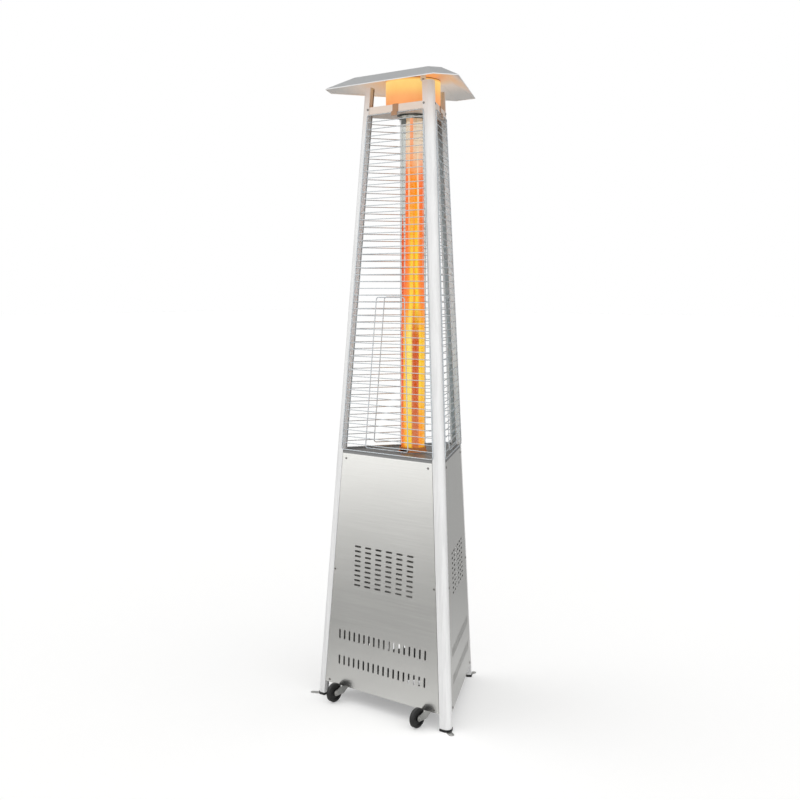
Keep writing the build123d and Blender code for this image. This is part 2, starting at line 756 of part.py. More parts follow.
with BuildPart() as tube_seat:
    with BuildSketch(Plane.XY.offset(DECK_TOP)):
        Circle(SEAT_RADIUS)
        Circle(SEAT_BORE, mode=Mode.SUBTRACT)
        with Locations(*[(spot.X, spot.Y) for spot in burner_screw_spots()]):
            Circle(SCREW_RADIUS + SCREW_HOLE_GAP, mode=Mode.SUBTRACT)
    extrude(amount=FRAME_SHEET)
    with BuildSketch(Plane.XY.offset(DECK_TOP)):
        Circle(SEAT_OUTER)
        Circle(SEAT_BORE, mode=Mode.SUBTRACT)
    extrude(amount=SEAT_WALL_TOP - DECK_TOP)
    with BuildSketch(Plane.XY.offset(TUBE_BASE - FRAME_SHEET)):
        Circle(SEAT_OUTER)
        Circle(SEAT_BORE - SEAT_LEDGE, mode=Mode.SUBTRACT)
    extrude(amount=FRAME_SHEET)
    # Two windows let air in at the tube's foot
    window_low = DECK_TOP + FRAME_SHEET
    half_window = radians(SEAT_WINDOW_ANGLE / 2)
    for turn in (0.0, 180.0):
        middle = radians(SEAT_WINDOW_AZIMUTH + turn)
        reach = SEAT_RADIUS / cos(half_window)
        with BuildSketch(Plane.XY.offset(window_low)):
            polygon(
                [
                    (0, 0),
                    (reach * cos(middle - half_window), reach * sin(middle - half_window)),
                    (reach * cos(middle + half_window), reach * sin(middle + half_window)),
                ]
            )
        extrude(amount=TUBE_BASE - window_low, mode=Mode.SUBTRACT)
save("tube_seat", tube_seat)

with BuildPart() as glass_tube:
    with BuildSketch(Plane.XY.offset(TUBE_BASE)):
        Circle(TUBE_RADIUS)
        Circle(TUBE_RADIUS - TUBE_WALL, mode=Mode.SUBTRACT)
    extrude(amount=TUBE_TOP - TUBE_BASE)
save("glass_tube", glass_tube)

with BuildPart() as tube_top_ring:
    ring_bore = TUBE_RADIUS + TUBE_GAP
    ring_base = UPPER_PLATE_BASE - RING_HEIGHT
    with BuildSketch(Plane.XY.offset(ring_base)):
        Circle(ring_bore + RING_WALL)
        Circle(ring_bore, mode=Mode.SUBTRACT)
    extrude(amount=RING_HEIGHT)
    with BuildSketch(Plane.XY.offset(UPPER_PLATE_BASE - FRAME_SHEET)):
        Circle(ring_bore + RING_WALL + RING_FLANGE)
        Circle(ring_bore, mode=Mode.SUBTRACT)
    extrude(amount=FRAME_SHEET)
    # The clip that hangs down outside the glass and keeps the tube from turning
    clip_middle = ring_bore + RING_WALL / 2
    clip_spot = around(RING_CLIP_AZIMUTH, clip_middle, ring_base - RING_CLIP_DROP / 2 + RING_WALL)
    with BuildSketch(Plane(origin=clip_spot, x_dir=around(RING_CLIP_AZIMUTH, 1, 0), z_dir=(0, 0, 1))):
        Rectangle(RING_WALL, RING_CLIP_WIDTH)
    extrude(amount=RING_CLIP_DROP / 2, both=True)
    with BuildSketch(Plane.XY.offset(ring_base - RING_CLIP_DROP)):
        Circle(ring_bore)
    extrude(amount=RING_HEIGHT + RING_CLIP_DROP, mode=Mode.SUBTRACT)
save("tube_top_ring", tube_top_ring)


# Upper plate: a level sheet with a turned-up flange on each side, tabbed into the posts

with BuildPart() as upper_plate:
    with BuildSketch(Plane.XY.offset(UPPER_PLATE_BASE)):
        polygon(
            plate_points(UPPER_PLATE_BASE + FRAME_SHEET, FRAME_SHEET, BETWEEN_POSTS, CORNER_TIP)
        )
        Circle(UPPER_HOLE_RADIUS, mode=Mode.SUBTRACT)
    extrude(amount=FRAME_SHEET)
    for azimuth in FACES.values():
        upper_top = UPPER_PLATE_BASE + UPPER_FLANGE
        flange(azimuth, UPPER_PLATE_BASE, upper_top, UPPER_TAB_INSET, FRAME_SHEET)
        for side in (-1, 1):
            screw_hole(azimuth, side, UPPER_SCREW_INSET, UPPER_SCREW_HEIGHT, 2 * FRAME_SHEET)
save("upper_plate", upper_plate)


# Flame screen: a slotted steel drum that glows above the tube



def rivet_plane(corner, radius):
    """An upright plane square to a corner's direction, at the height of the brackets' rivets."""
    return Plane(origin=around(CORNERS[corner], radius, RIVET_HEIGHT), z_dir=around(CORNERS[corner], 1, 0))


with BuildPart() as flame_screen:
    with BuildSketch(Plane.XY.offset(SCREEN_BASE)):
        Circle(SCREEN_RADIUS)
        Circle(SCREEN_RADIUS - SCREEN_WALL, mode=Mode.SUBTRACT)
    extrude(amount=SCREEN_TOP - SCREEN_BASE)
    for corner in CORNER_ORDER:
        with BuildSketch(rivet_plane(corner, SCREEN_RADIUS - SCREEN_WALL - CUT_OVERRUN)):
            Circle(CANOPY_RIVET_RADIUS + SCREW_HOLE_GAP)
        extrude(amount=SCREEN_WALL + 2 * CUT_OVERRUN, mode=Mode.SUBTRACT)
save("flame_screen", flame_screen)

# Hood clips: each hooks over the upper plate's flange, carries the screen and holds a guard


def face_strip(azimuth, depth, low, high, width, thick):
    """A strip across the middle of a face, built outward from a depth."""
    with BuildSketch(face_plane(azimuth, depth)) as strip:
        with Locations((0, (climb(low, depth) + climb(high, depth)) / 2)):
            Rectangle(width, climb(high, depth) - climb(low, depth))
    extrude(strip.sketch, amount=thick)


def level_strip(azimuth, height, inner, outer, width, thick):
    """A level strip that runs outward in one direction."""
    middle = around(azimuth, (inner + outer) / 2, height)
    with BuildSketch(Plane(origin=middle, x_dir=around(azimuth, 1, 0), z_dir=(0, 0, 1))) as strip:
        Rectangle(outer - inner, width)
    extrude(strip.sketch, amount=thick)


def hood_clip(azimuth):
    """One clip: a folded strip in the middle of a face."""
    hook_top = GUARD_TOP + GUARD_FRAME_WIRE / 2 + CLIP_HOOK_GAP
    hook_front = GUARD_FRAME_WIRE / 2 - GUARD_DEPTH + CLIP_HOOK_GAP
    hook_low = SCREEN_BASE - CLIP_HOOK_DROP
    # The front strip lies on the flange's outer side, down to the hook over the guard's wire
    face_strip(azimuth, FRAME_SHEET, hook_top, SCREEN_BASE - FRAME_SHEET / 2, CLIP_WIDTH, FRAME_SHEET)
    hook_run = FRAME_SHEET + hook_front + FRAME_SHEET
    face_strip(azimuth, FRAME_SHEET, hook_top, hook_top + FRAME_SHEET, CLIP_WIDTH, hook_run)
    face_strip(azimuth, -hook_front, hook_low, hook_top + FRAME_SHEET, CLIP_WIDTH, FRAME_SHEET)
    # The shelf crosses the flange's top, and a tongue stands up inside the screen
    tongue_out = SCREEN_RADIUS - SCREEN_WALL - CLIP_TONGUE_GAP
    tongue_in = tongue_out - FRAME_SHEET
    shelf_out = face_distance(SCREEN_BASE) - SEAT_GAP
    level_strip(azimuth, CLIP_SHELF, tongue_in, shelf_out, CLIP_TONGUE_WIDTH, FRAME_SHEET)
    level_strip(azimuth, CLIP_SHELF, tongue_in, tongue_out, CLIP_TONGUE_WIDTH, CLIP_TONGUE_RISE)


with BuildPart() as hood_clips:
    for azimuth in FACES.values():
        hood_clip(azimuth)
save("hood_clips", hood_clips)


# Wire guards, one on each face above the deck


def wire_loop(plane, points, bend, wire):
    """A closed loop of round wire through four rounded corners on a plane."""
    half = len(points) // 2
    start = tuple((a + b) / 2 for a, b in zip(points[0], points[-1]))
    turn = tuple((a + b) / 2 for a, b in zip(points[half - 1], points[half]))
    with BuildLine(plane) as route:
        FilletPolyline(start, *points[:half], turn, radius=bend)
        FilletPolyline(turn, *points[half:], start, radius=bend)
    path = route.wire()
    with BuildSketch(Plane(origin=path @ 0, z_dir=path % 0)) as section:
        Circle(wire / 2)
    sweep(section.sketch, path=path)


def wire_guard(azimuth):
    """A welded guard: a rounded frame, level wires across it and a brace behind them."""
    frame_plane = face_plane(azimuth, GUARD_DEPTH)
    rows = round((GUARD_TOP - GUARD_BASE) / GUARD_PITCH)
    pitch = (GUARD_TOP - GUARD_BASE) / rows
    # The level wires are drawn on the face's middle plane and trimmed to the frame
    middle = Plane(origin=frame_plane.origin, x_dir=frame_plane.y_dir, z_dir=frame_plane.x_dir)
    with BuildSketch(middle) as wire_ends:
        with Locations(*[(climb(GUARD_BASE + row * pitch, GUARD_DEPTH), 0) for row in range(1, rows)]):
            Circle(GUARD_WIRE / 2)
    extrude(wire_ends.sketch, amount=spacing(GUARD_BASE) / 2, both=True)
    slab_depth = GUARD_DEPTH + GUARD_FRAME_WIRE
    with BuildSketch(face_plane(azimuth, slab_depth)) as slab:
        polygon(face_band(GUARD_BASE, GUARD_TOP, GUARD_INSET, slab_depth))
    extrude(slab.sketch, amount=2 * GUARD_FRAME_WIRE, mode=Mode.INTERSECT)
    frame_points = face_band(GUARD_BASE, GUARD_TOP, GUARD_INSET, GUARD_DEPTH)
    wire_loop(frame_plane, frame_points, GUARD_CORNER_RADIUS, GUARD_FRAME_WIRE)
    # The brace stands behind the level wires in the guard's lower half
    brace_depth = GUARD_DEPTH + (GUARD_WIRE + GUARD_BRACE_WIRE) / 2 - GUARD_WELD
    brace_points = [
        (-BRACE_BASE_HALF, climb(BRACE_BASE, brace_depth)),
        (BRACE_BASE_HALF, climb(BRACE_BASE, brace_depth)),
        (BRACE_TOP_HALF, climb(BRACE_TOP, brace_depth)),
        (-BRACE_TOP_HALF, climb(BRACE_TOP, brace_depth)),
    ]
    wire_loop(face_plane(azimuth, brace_depth), brace_points, BRACE_CORNER_RADIUS, GUARD_BRACE_WIRE)


for name, azimuth in FACES.items():
    with BuildPart() as guard:
        wire_guard(azimuth)
    save(f"guard_{name}_side", guard)


# Canopy

def canopy_bolt_plane(corner, height):
    """A level plane where a canopy bolt stands."""
    return Plane(origin=around(CORNERS[corner], CANOPY_BOLT_CIRCLE, height))


CANOPY_SIDE = CANOPY_ACROSS + CANOPY_CORNER_CUT
TOP_SIDE = CANOPY_SIDE - 2 * sqrt(3) * CANOPY_FLAP_WIDTH


def inset_side(side, inset):
    """The side of a triangle whose edges are moved in."""
    return side - 2 * sqrt(3) * inset


def inset_cut(cut, inset):
    """The cut of a corner whose edges are all moved in."""
    return cut - 2 * inset / sqrt(3)


with BuildPart() as canopy:
    with BuildSketch(Plane.XY.offset(RIM_TOP)):
        polygon(cut_corner_triangle(CANOPY_SIDE, CANOPY_CORNER_CUT))
    with BuildSketch(Plane.XY.offset(HEIGHT)):
        polygon(cut_corner_triangle(TOP_SIDE, CANOPY_TOP_CUT))
    loft(ruled=True)
    with BuildSketch(Plane.XY.offset(RIM_TOP - CANOPY_RIM)):
        polygon(cut_corner_triangle(CANOPY_SIDE, CANOPY_CORNER_CUT))
    extrude(amount=CANOPY_RIM)
    inner_side = inset_side(CANOPY_SIDE, CANOPY_SHEET)
    inner_cut = inset_cut(CANOPY_CORNER_CUT, CANOPY_SHEET)
    # The hollow below the flaps and inside the rim
    with BuildSketch(Plane.XY.offset(RIM_TOP - CANOPY_SHEET / 2)):
        polygon(cut_corner_triangle(inner_side, inner_cut))
    with BuildSketch(Plane.XY.offset(FLAT_UNDERSIDE)):
        polygon(
            cut_corner_triangle(
                inset_side(TOP_SIDE, CANOPY_SHEET / 2), inset_cut(CANOPY_TOP_CUT, CANOPY_SHEET / 2)
            )
        )
    loft(ruled=True, mode=Mode.SUBTRACT)
    with BuildSketch(Plane.XY.offset(RIM_TOP - CANOPY_RIM - CUT_OVERRUN)):
        polygon(cut_corner_triangle(inner_side, inner_cut))
    extrude(amount=CANOPY_RIM + CUT_OVERRUN - CANOPY_SHEET / 2, mode=Mode.SUBTRACT)
    for corner in CORNER_ORDER:
        with BuildSketch(canopy_bolt_plane(corner, FLAT_UNDERSIDE - CUT_OVERRUN)):
            Circle(CANOPY_BOLT_RADIUS + SCREW_HOLE_GAP)
        extrude(amount=CANOPY_SHEET + 2 * CUT_OVERRUN, mode=Mode.SUBTRACT)
save("canopy", canopy)

# Brackets from the screen's top out under the canopy, one towards each corner

with BuildPart() as canopy_brackets:
    for corner in CORNER_ORDER:
        azimuth = CORNERS[corner]
        leg_low = SCREEN_TOP - CANOPY_BRACKET_DROP
        leg_rise = FLAT_UNDERSIDE - leg_low
        arm_end = BRACKET_BACK + CANOPY_BRACKET_REACH
        level_strip(azimuth, leg_low, BRACKET_BACK, BRACKET_FRONT, CANOPY_BRACKET_WIDTH, leg_rise)
        level_strip(azimuth, BRACKET_TOP, BRACKET_BACK, arm_end, CANOPY_BRACKET_WIDTH, CANOPY_BRACKET_SHEET)
        with BuildSketch(canopy_bolt_plane(corner, BRACKET_TOP - CUT_OVERRUN)):
            Circle(CANOPY_BOLT_RADIUS + SCREW_HOLE_GAP)
        extrude(amount=CANOPY_BRACKET_SHEET + 2 * CUT_OVERRUN, mode=Mode.SUBTRACT)
        with BuildSketch(rivet_plane(corner, BRACKET_BACK - CUT_OVERRUN)):
            Circle(CANOPY_RIVET_RADIUS + SCREW_HOLE_GAP)
        extrude(amount=CANOPY_BRACKET_SHEET + 2 * CUT_OVERRUN, mode=Mode.SUBTRACT)
save("canopy_brackets", canopy_brackets)

# Bolts through the canopy and its brackets, and rivets through the brackets and the screen

with BuildPart() as canopy_fasteners:
    nut_base = BRACKET_TOP - CANOPY_NUT_HEIGHT
    bolt_end = nut_base - CANOPY_BOLT_TAIL
    rivet_head = SCREEN_RADIUS - SCREEN_WALL - RIVET_CURVE_GAP
    rivet_end = rivet_head - CANOPY_RIVET_HEAD_HEIGHT
    for corner in CORNER_ORDER:
        with BuildSketch(canopy_bolt_plane(corner, bolt_end)):
            Circle(CANOPY_BOLT_RADIUS)
        extrude(amount=HEIGHT - bolt_end)
        with BuildSketch(canopy_bolt_plane(corner, HEIGHT)):
            Circle(CANOPY_BOLT_HEAD_RADIUS)
        extrude(amount=CANOPY_BOLT_HEAD_HEIGHT, taper=SCREW_HEAD_TAPER)
        with BuildSketch(canopy_bolt_plane(corner, nut_base)):
            RegularPolygon(CANOPY_NUT_RADIUS, 6)
        extrude(amount=CANOPY_NUT_HEIGHT)
        with BuildSketch(rivet_plane(corner, rivet_end)):
            Circle(CANOPY_RIVET_RADIUS)
        extrude(amount=BRACKET_FRONT - rivet_end)
        for end in (rivet_end, BRACKET_FRONT):
            with BuildSketch(rivet_plane(corner, end)):
                Circle(CANOPY_RIVET_HEAD_RADIUS)
            extrude(amount=CANOPY_RIVET_HEAD_HEIGHT)
save("canopy_fasteners", canopy_fasteners)


# Burner

CUP_BASE = SHELF_TOP - BURNER_CUP_DEPTH


def control_spot(inward, along, height):
    """A point by its distance from the axis towards the control side and along that face."""
    angle = radians(CONTROL_FACE)
    x = inward * cos(angle) - along * sin(angle)
    y = inward * sin(angle) + along * cos(angle)
    return Vector(x, y, height)


def probe_spots(height):
    """The thermocouple, the pilot tube and the electrode, side by side beside the burner head."""
    return [control_spot(PILOT_OFFSET, along, height) for along in (-PROBE_SPACING, 0, PROBE_SPACING)]


with BuildPart() as burner_housing:
    with BuildSketch(Plane.XY.offset(SHELF_TOP - FRAME_SHEET)):
        Circle(BURNER_FLANGE_RADIUS)
        Circle(BURNER_CUP_RADIUS - FRAME_SHEET, mode=Mode.SUBTRACT)
        with Locations(*[(spot.X, spot.Y) for spot in burner_screw_spots()]):
            Circle(SCREW_RADIUS + SCREW_HOLE_GAP, mode=Mode.SUBTRACT)
    extrude(amount=FRAME_SHEET)
    with BuildSketch(Plane.XY.offset(CUP_BASE)):
        Circle(BURNER_CUP_RADIUS)
        Circle(BURNER_CUP_RADIUS - FRAME_SHEET, mode=Mode.SUBTRACT)
    extrude(amount=BURNER_CUP_DEPTH)
    with BuildSketch(Plane.XY.offset(CUP_BASE)):
        Circle(BURNER_CUP_RADIUS)
        Circle(INJECTOR_RADIUS + SCREW_HOLE_GAP, mode=Mode.SUBTRACT)
        with PolarLocations(AIR_HOLE_CIRCLE, AIR_HOLE_COUNT, start_angle=CONTROL_FACE):
            Circle(AIR_HOLE_RADIUS, mode=Mode.SUBTRACT)
        with Locations(*[(spot.X, spot.Y) for spot in probe_spots(0)]):
            Circle(PROBE_RADIUS + SCREW_HOLE_GAP, mode=Mode.SUBTRACT)
    extrude(amount=FRAME_SHEET)
save("burner_housing", burner_housing)

with BuildPart() as burner_head:
    tube_foot = CUP_BASE + FRAME_SHEET
    head_base = BURNER_HEAD_TOP - BURNER_HEAD_HEIGHT
    with BuildSketch(Plane.XY.offset(tube_foot)):
        Circle(VENTURI_RADIUS)
    extrude(amount=head_base - tube_foot)
    with BuildSketch(Plane.XY.offset(head_base)):
        Circle(BURNER_HEAD_RADIUS)
    extrude(amount=BURNER_HEAD_HEIGHT)
    fillet(burner_head.edges().filter_by(GeomType.CIRCLE).sort_by(Axis.Z)[-1], BURNER_HEAD_HEIGHT / 3)
    with BuildSketch(Plane.XY.offset(tube_foot)):
        Circle(VENTURI_BORE)
    extrude(amount=BURNER_HEAD_TOP - tube_foot - FRAME_SHEET, mode=Mode.SUBTRACT)
    with BuildSketch(Plane.XY.offset(head_base + FRAME_SHEET)):
        Circle(BURNER_HEAD_RADIUS - FRAME_SHEET - BURNER_HEAD_HEIGHT / 4)
    extrude(amount=BURNER_HEAD_HEIGHT - 2 * FRAME_SHEET, mode=Mode.SUBTRACT)
    # Air windows in the mixing tube, and the flame ports in the head's top
    with BuildSketch(Plane.XZ.offset(-VENTURI_RADIUS - CUT_OVERRUN)):
        with Locations((0, tube_foot + VENTURI_SLOT)):
            Rectangle(VENTURI_BORE, VENTURI_SLOT)
    extrude(amount=2 * (VENTURI_RADIUS + CUT_OVERRUN), mode=Mode.SUBTRACT)
    with BuildSketch(Plane.XY.offset(BURNER_HEAD_TOP - FRAME_SHEET - CUT_OVERRUN)):
        for ring in range(1, BURNER_PORT_RINGS + 1):
            port_circle = BURNER_HEAD_RADIUS * ring / (BURNER_PORT_RINGS + 1)
            with PolarLocations(port_circle, BURNER_PORTS_PER_RING):
                Circle(BURNER_PORT_RADIUS)
    extrude(amount=FRAME_SHEET + 2 * CUT_OVERRUN, mode=Mode.SUBTRACT)
save("burner_head", burner_head)

INJECTOR_BASE = CUP_BASE - INJECTOR_HEX_HEIGHT

with BuildPart() as gas_injector:
    with BuildSketch(Plane.XY.offset(INJECTOR_BASE)):
        RegularPolygon(INJECTOR_HEX, 6)
    extrude(amount=INJECTOR_HEX_HEIGHT)
    with BuildSketch(Plane.XY.offset(CUP_BASE)):
        Circle(INJECTOR_RADIUS)
    extrude(amount=INJECTOR_TIP_HEIGHT)
    with BuildSketch(Plane.XY.offset(INJECTOR_BASE)):
        Circle(INJECTOR_BORE)
    extrude(amount=INJECTOR_HEX_HEIGHT + INJECTOR_TIP_HEIGHT, mode=Mode.SUBTRACT)
save("gas_injector", gas_injector)


# Control fascia with the gas valve, its knob and the igniter

STEM_HOLE = STEM_RADIUS + FASCIA_HOLE_GAP
VALVE_SPOT = spot_plane(CONTROL_FACE, PANEL_SHEET, VALVE_OFFSET, CONTROL_HEIGHT)
IGNITER_SPOT = spot_plane(CONTROL_FACE, 0, IGNITER_OFFSET, CONTROL_HEIGHT)
KNOB_SPOT = spot_plane(CONTROL_FACE, 0, VALVE_OFFSET, CONTROL_HEIGHT)

with BuildPart() as control_fascia:
    with BuildSketch(face_plane(CONTROL_FACE, PANEL_SHEET)):
        polygon(face_band(FASCIA_BASE, PANEL_TOP, PANEL_EDGE, PANEL_SHEET))
        with Locations((VALVE_OFFSET, climb(CONTROL_HEIGHT, PANEL_SHEET))):
            Circle(STEM_HOLE, mode=Mode.SUBTRACT)
        with Locations((IGNITER_OFFSET, climb(CONTROL_HEIGHT, PANEL_SHEET))):
            Circle(IGNITER_NECK_RADIUS + SCREW_HOLE_GAP, mode=Mode.SUBTRACT)
    extrude(amount=PANEL_SHEET)
    for side in (-1, 1):
        screw_hole(CONTROL_FACE, side, TOP_SCREW_INSET, TOP_SCREW_HEIGHT, PANEL_SHEET)
        screw_hole(CONTROL_FACE, side, MID_SCREW_INSET, FASCIA_SCREW_HEIGHT, PANEL_SHEET)
save("control_fascia", control_fascia)

with BuildPart() as valve_body:
    with BuildSketch(VALVE_SPOT):
        RectangleRounded(VALVE_WIDTH, VALVE_HEIGHT, VALVE_EDGE)
    extrude(amount=-VALVE_DEPTH)
    with BuildSketch(VALVE_SPOT):
        Circle(STEM_RADIUS + RUNNING_GAP)
    extrude(amount=-STEM_SEAT_DEPTH, mode=Mode.SUBTRACT)
    with BuildSketch(VALVE_SPOT.offset(-STEM_SEAT_DEPTH)):
        Circle(STEM_COLLAR_RADIUS + RUNNING_GAP)
    extrude(amount=STEM_COLLAR_LENGTH + 2 * RUNNING_GAP, mode=Mode.SUBTRACT)
save("valve_body", valve_body)

with BuildPart() as valve_stem:
    stem_back = STEM_SEAT_DEPTH - RUNNING_GAP
    with BuildSketch(VALVE_SPOT.offset(-stem_back)):
        Circle(STEM_RADIUS)
    extrude(amount=stem_back + PANEL_SHEET + STEM_REACH)
    with BuildSketch(VALVE_SPOT.offset(-stem_back)):
        Circle(STEM_COLLAR_RADIUS)
    extrude(amount=STEM_COLLAR_LENGTH)
save("valve_stem", valve_stem)

with BuildPart() as control_knob:
    with BuildSketch(KNOB_SPOT.offset(KNOB_STANDOFF)):
        Circle(KNOB_RADIUS)
    with BuildSketch(KNOB_SPOT.offset(KNOB_STANDOFF + KNOB_HEIGHT - KNOB_GRIP_RISE)):
        Circle(KNOB_TIP_RADIUS)
    loft()
    with BuildSketch(KNOB_SPOT.offset(KNOB_STANDOFF + KNOB_HEIGHT - KNOB_GRIP_RISE)):
        SlotOverall(2 * (KNOB_TIP_RADIUS - KNOB_EDGE), KNOB_GRIP_WIDTH, rotation=90.0)
    extrude(amount=KNOB_GRIP_RISE)
    with BuildSketch(KNOB_SPOT.offset(KNOB_STANDOFF)):
        Circle(STEM_RADIUS + RUNNING_GAP)
    extrude(amount=STEM_REACH - KNOB_STANDOFF + KNOB_TRAVEL + KNOB_EDGE, mode=Mode.SUBTRACT)
save("control_knob", control_knob)

INLET_SPOT = Plane(
    origin=VALVE_SPOT.from_local_coords((0, -VALVE_HEIGHT / 2, -VALVE_DEPTH / 2)),
    x_dir=VALVE_SPOT.x_dir,
    z_dir=-VALVE_SPOT.y_dir,
)

with BuildPart() as gas_inlet:
    with BuildSketch(INLET_SPOT):
        RegularPolygon(INLET_COLLAR_RADIUS, 6)
    extrude(amount=INLET_COLLAR_LENGTH)
    with BuildSketch(INLET_SPOT.offset(INLET_COLLAR_LENGTH)):
        Circle(INLET_RADIUS)
    extrude(amount=INLET_LENGTH)
    with BuildSketch(INLET_SPOT):
        Circle(INLET_BORE)
    extrude(amount=INLET_COLLAR_LENGTH + INLET_LENGTH, mode=Mode.SUBTRACT)
save("gas_inlet", gas_inlet)

with BuildPart() as igniter_body:
    with BuildSketch(IGNITER_SPOT):
        Circle(IGNITER_BEZEL_RADIUS)
    extrude(amount=IGNITER_BEZEL_HEIGHT)
    with BuildSketch(IGNITER_SPOT.offset(-PANEL_SHEET)):
        Circle(IGNITER_NECK_RADIUS)
    extrude(amount=PANEL_SHEET)
    with BuildSketch(IGNITER_SPOT.offset(-PANEL_SHEET)):
        Circle(IGNITER_BODY_RADIUS)
    extrude(amount=-IGNITER_BODY_DEPTH)
    with BuildSketch(IGNITER_SPOT.offset(IGNITER_BEZEL_HEIGHT)):
        Circle(BUTTON_RADIUS + BUTTON_SIDE_GAP)
    extrude(amount=-(BUTTON_DEPTH + BUTTON_TRAVEL + SEAT_GAP), mode=Mode.SUBTRACT)
save("igniter_body", igniter_body)

with BuildPart() as igniter_button:
    with BuildSketch(IGNITER_SPOT.offset(IGNITER_BEZEL_HEIGHT - BUTTON_DEPTH)):
        Circle(BUTTON_RADIUS)
    extrude(amount=BUTTON_DEPTH + BUTTON_RISE)
    fillet(igniter_button.edges().sort_by(Axis(IGNITER_SPOT.origin, IGNITER_SPOT.z_dir))[-1], KNOB_EDGE)
save("igniter_button", igniter_button)


# Pilot group beside the burner head, and the pipes and leads to it


def run_of_tube(points, radius, bend):
    """A round tube along straight runs joined by arcs."""
    with BuildLine() as route:
        FilletPolyline(*points, radius=bend)
    path = route.wire()
    with BuildSketch(Plane(origin=path @ 0, z_dir=path % 0)) as section:
        Circle(radius)
    sweep(section.sketch, path=path)


def lead_run(start, target):
    """The corners of a lead: straight back from its start, across, and up to its target."""
    inward = VALVE_SPOT.z_dir * LEAD_STRAIGHT
    return [start, start - inward, Vector(target.X, target.Y, LEAD_LEVEL), target]


PILOT_BASE = CUP_BASE + FRAME_SHEET
PILOT_TOP = BURNER_HEAD_TOP + PILOT_RISE
PROBE_FOOT = CUP_BASE - PROBE_TAIL
PIPE_LEVEL = INJECTOR_BASE - PIPE_BEND - PIPE_RADIUS
VALVE_BACK = VALVE_SPOT.offset(-VALVE_DEPTH)
IGNITER_BACK = IGNITER_SPOT.offset(-PANEL_SHEET - IGNITER_BODY_DEPTH)
GLAND_RADIUS = PILOT_PIPE_RADIUS + FRAME_SHEET
PILOT_FRAME = Plane(origin=control_spot(PILOT_OFFSET, 0, PILOT_BASE), x_dir=around(CONTROL_FACE, 1, 0))

with BuildPart() as pilot_burner:
    with BuildSketch(PILOT_FRAME):
        Rectangle(PILOT_BLOCK, 2 * PROBE_SPACING + PILOT_BLOCK)
        with Locations((0, -PROBE_SPACING), (0, PROBE_SPACING)):
            Circle(PROBE_RADIUS + RUNNING_GAP, mode=Mode.SUBTRACT)
    extrude(amount=PILOT_BLOCK)
    with BuildSketch(PILOT_FRAME):
        Circle(GLAND_RADIUS)
    extrude(amount=PILOT_TOP - PILOT_BASE)
    with BuildSketch(PILOT_FRAME.offset(PILOT_BLOCK)):
        Circle(PILOT_PIPE_RADIUS)
    extrude(amount=PILOT_TOP - PILOT_BASE, mode=Mode.SUBTRACT)
save("pilot_burner", pilot_burner)

PROBE_FEET = probe_spots(PROBE_FOOT)
THERMOCOUPLE_START = VALVE_BACK.from_local_coords((LEAD_START_SPACING, LEAD_START_SPACING, 0))
PILOT_START = VALVE_BACK.from_local_coords((2 * LEAD_START_SPACING, LEAD_START_SPACING, 0))

with BuildPart() as thermocouple:
    run_of_tube(lead_run(THERMOCOUPLE_START, PROBE_FEET[0]), LEAD_RADIUS, LEAD_BEND)
    with BuildSketch(Plane(origin=PROBE_FEET[0])):
        Circle(PROBE_RADIUS)
    extrude(amount=PILOT_TOP - PROBE_FOOT)
save("thermocouple", thermocouple)

with BuildPart() as pilot_pipe:
    pilot_end = control_spot(PILOT_OFFSET, 0, PILOT_BASE)
    run_of_tube(lead_run(PILOT_START, pilot_end), PILOT_PIPE_RADIUS, LEAD_BEND)
save("pilot_pipe", pilot_pipe)

with BuildPart() as ignition_electrode:
    run_of_tube(lead_run(IGNITER_BACK.origin, PROBE_FEET[2]), LEAD_RADIUS, LEAD_BEND)
    with BuildSketch(Plane(origin=PROBE_FEET[2])):
        Circle(PROBE_RADIUS)
    extrude(amount=PILOT_TOP - PROBE_FOOT)
save("ignition_electrode", ignition_electrode)

with BuildPart() as supply_pipe:
    supply_start = VALVE_BACK.origin
    supply_turn = supply_start - VALVE_SPOT.z_dir * LEAD_STRAIGHT
    supply_end = Vector(0, 0, INJECTOR_BASE)
    run_of_tube([supply_start, supply_turn, Vector(0, 0, PIPE_LEVEL), supply_end], PIPE_RADIUS, PIPE_BEND)
save("supply_pipe", supply_pipe)

with BuildPart() as tilt_switch:
    tilt_spot = around(CORNERS["rear"], TILT_OFFSET, TRAY_BASE + FRAME_SHEET)
    tilt_plane = Plane(origin=tilt_spot, x_dir=around(CORNERS["rear"], 1, 0), z_dir=(0, 0, 1))
    with BuildSketch(tilt_plane):
        RectangleRounded(TILT_DEPTH, TILT_WIDTH, VALVE_EDGE)
    extrude(amount=TILT_HEIGHT)
save("tilt_switch", tilt_switch)


# Access door on the control side, its hinges, handle and magnetic catch

HINGE_INSET = POST_LEG + SEAT_GAP / 2
HINGE_SIDE = -1


def hinge_axis_plane(height):
    """A plane square to the hinge line, with its origin on the line at a height."""
    face = face_plane(CONTROL_FACE, -HINGE_LIFT)
    low_point = edge_point(height, HINGE_INSET, HINGE_SIDE, -HINGE_LIFT)
    high_point = edge_point(HEIGHT, HINGE_INSET, HINGE_SIDE, -HINGE_LIFT)
    low_spot = face.from_local_coords((low_point[0], low_point[1], 0))
    high_spot = face.from_local_coords((high_point[0], high_point[1], 0))
    return Plane(origin=low_spot, x_dir=face.z_dir, z_dir=(high_spot - low_spot).normalized())


def knuckle(plane, low, high):
    """A stretch of hinge barrel along the hinge line."""
    with BuildSketch(plane.offset(low)) as barrel_end:
        Circle(HINGE_KNUCKLE_RADIUS)
    extrude(barrel_end.sketch, amount=high - low)


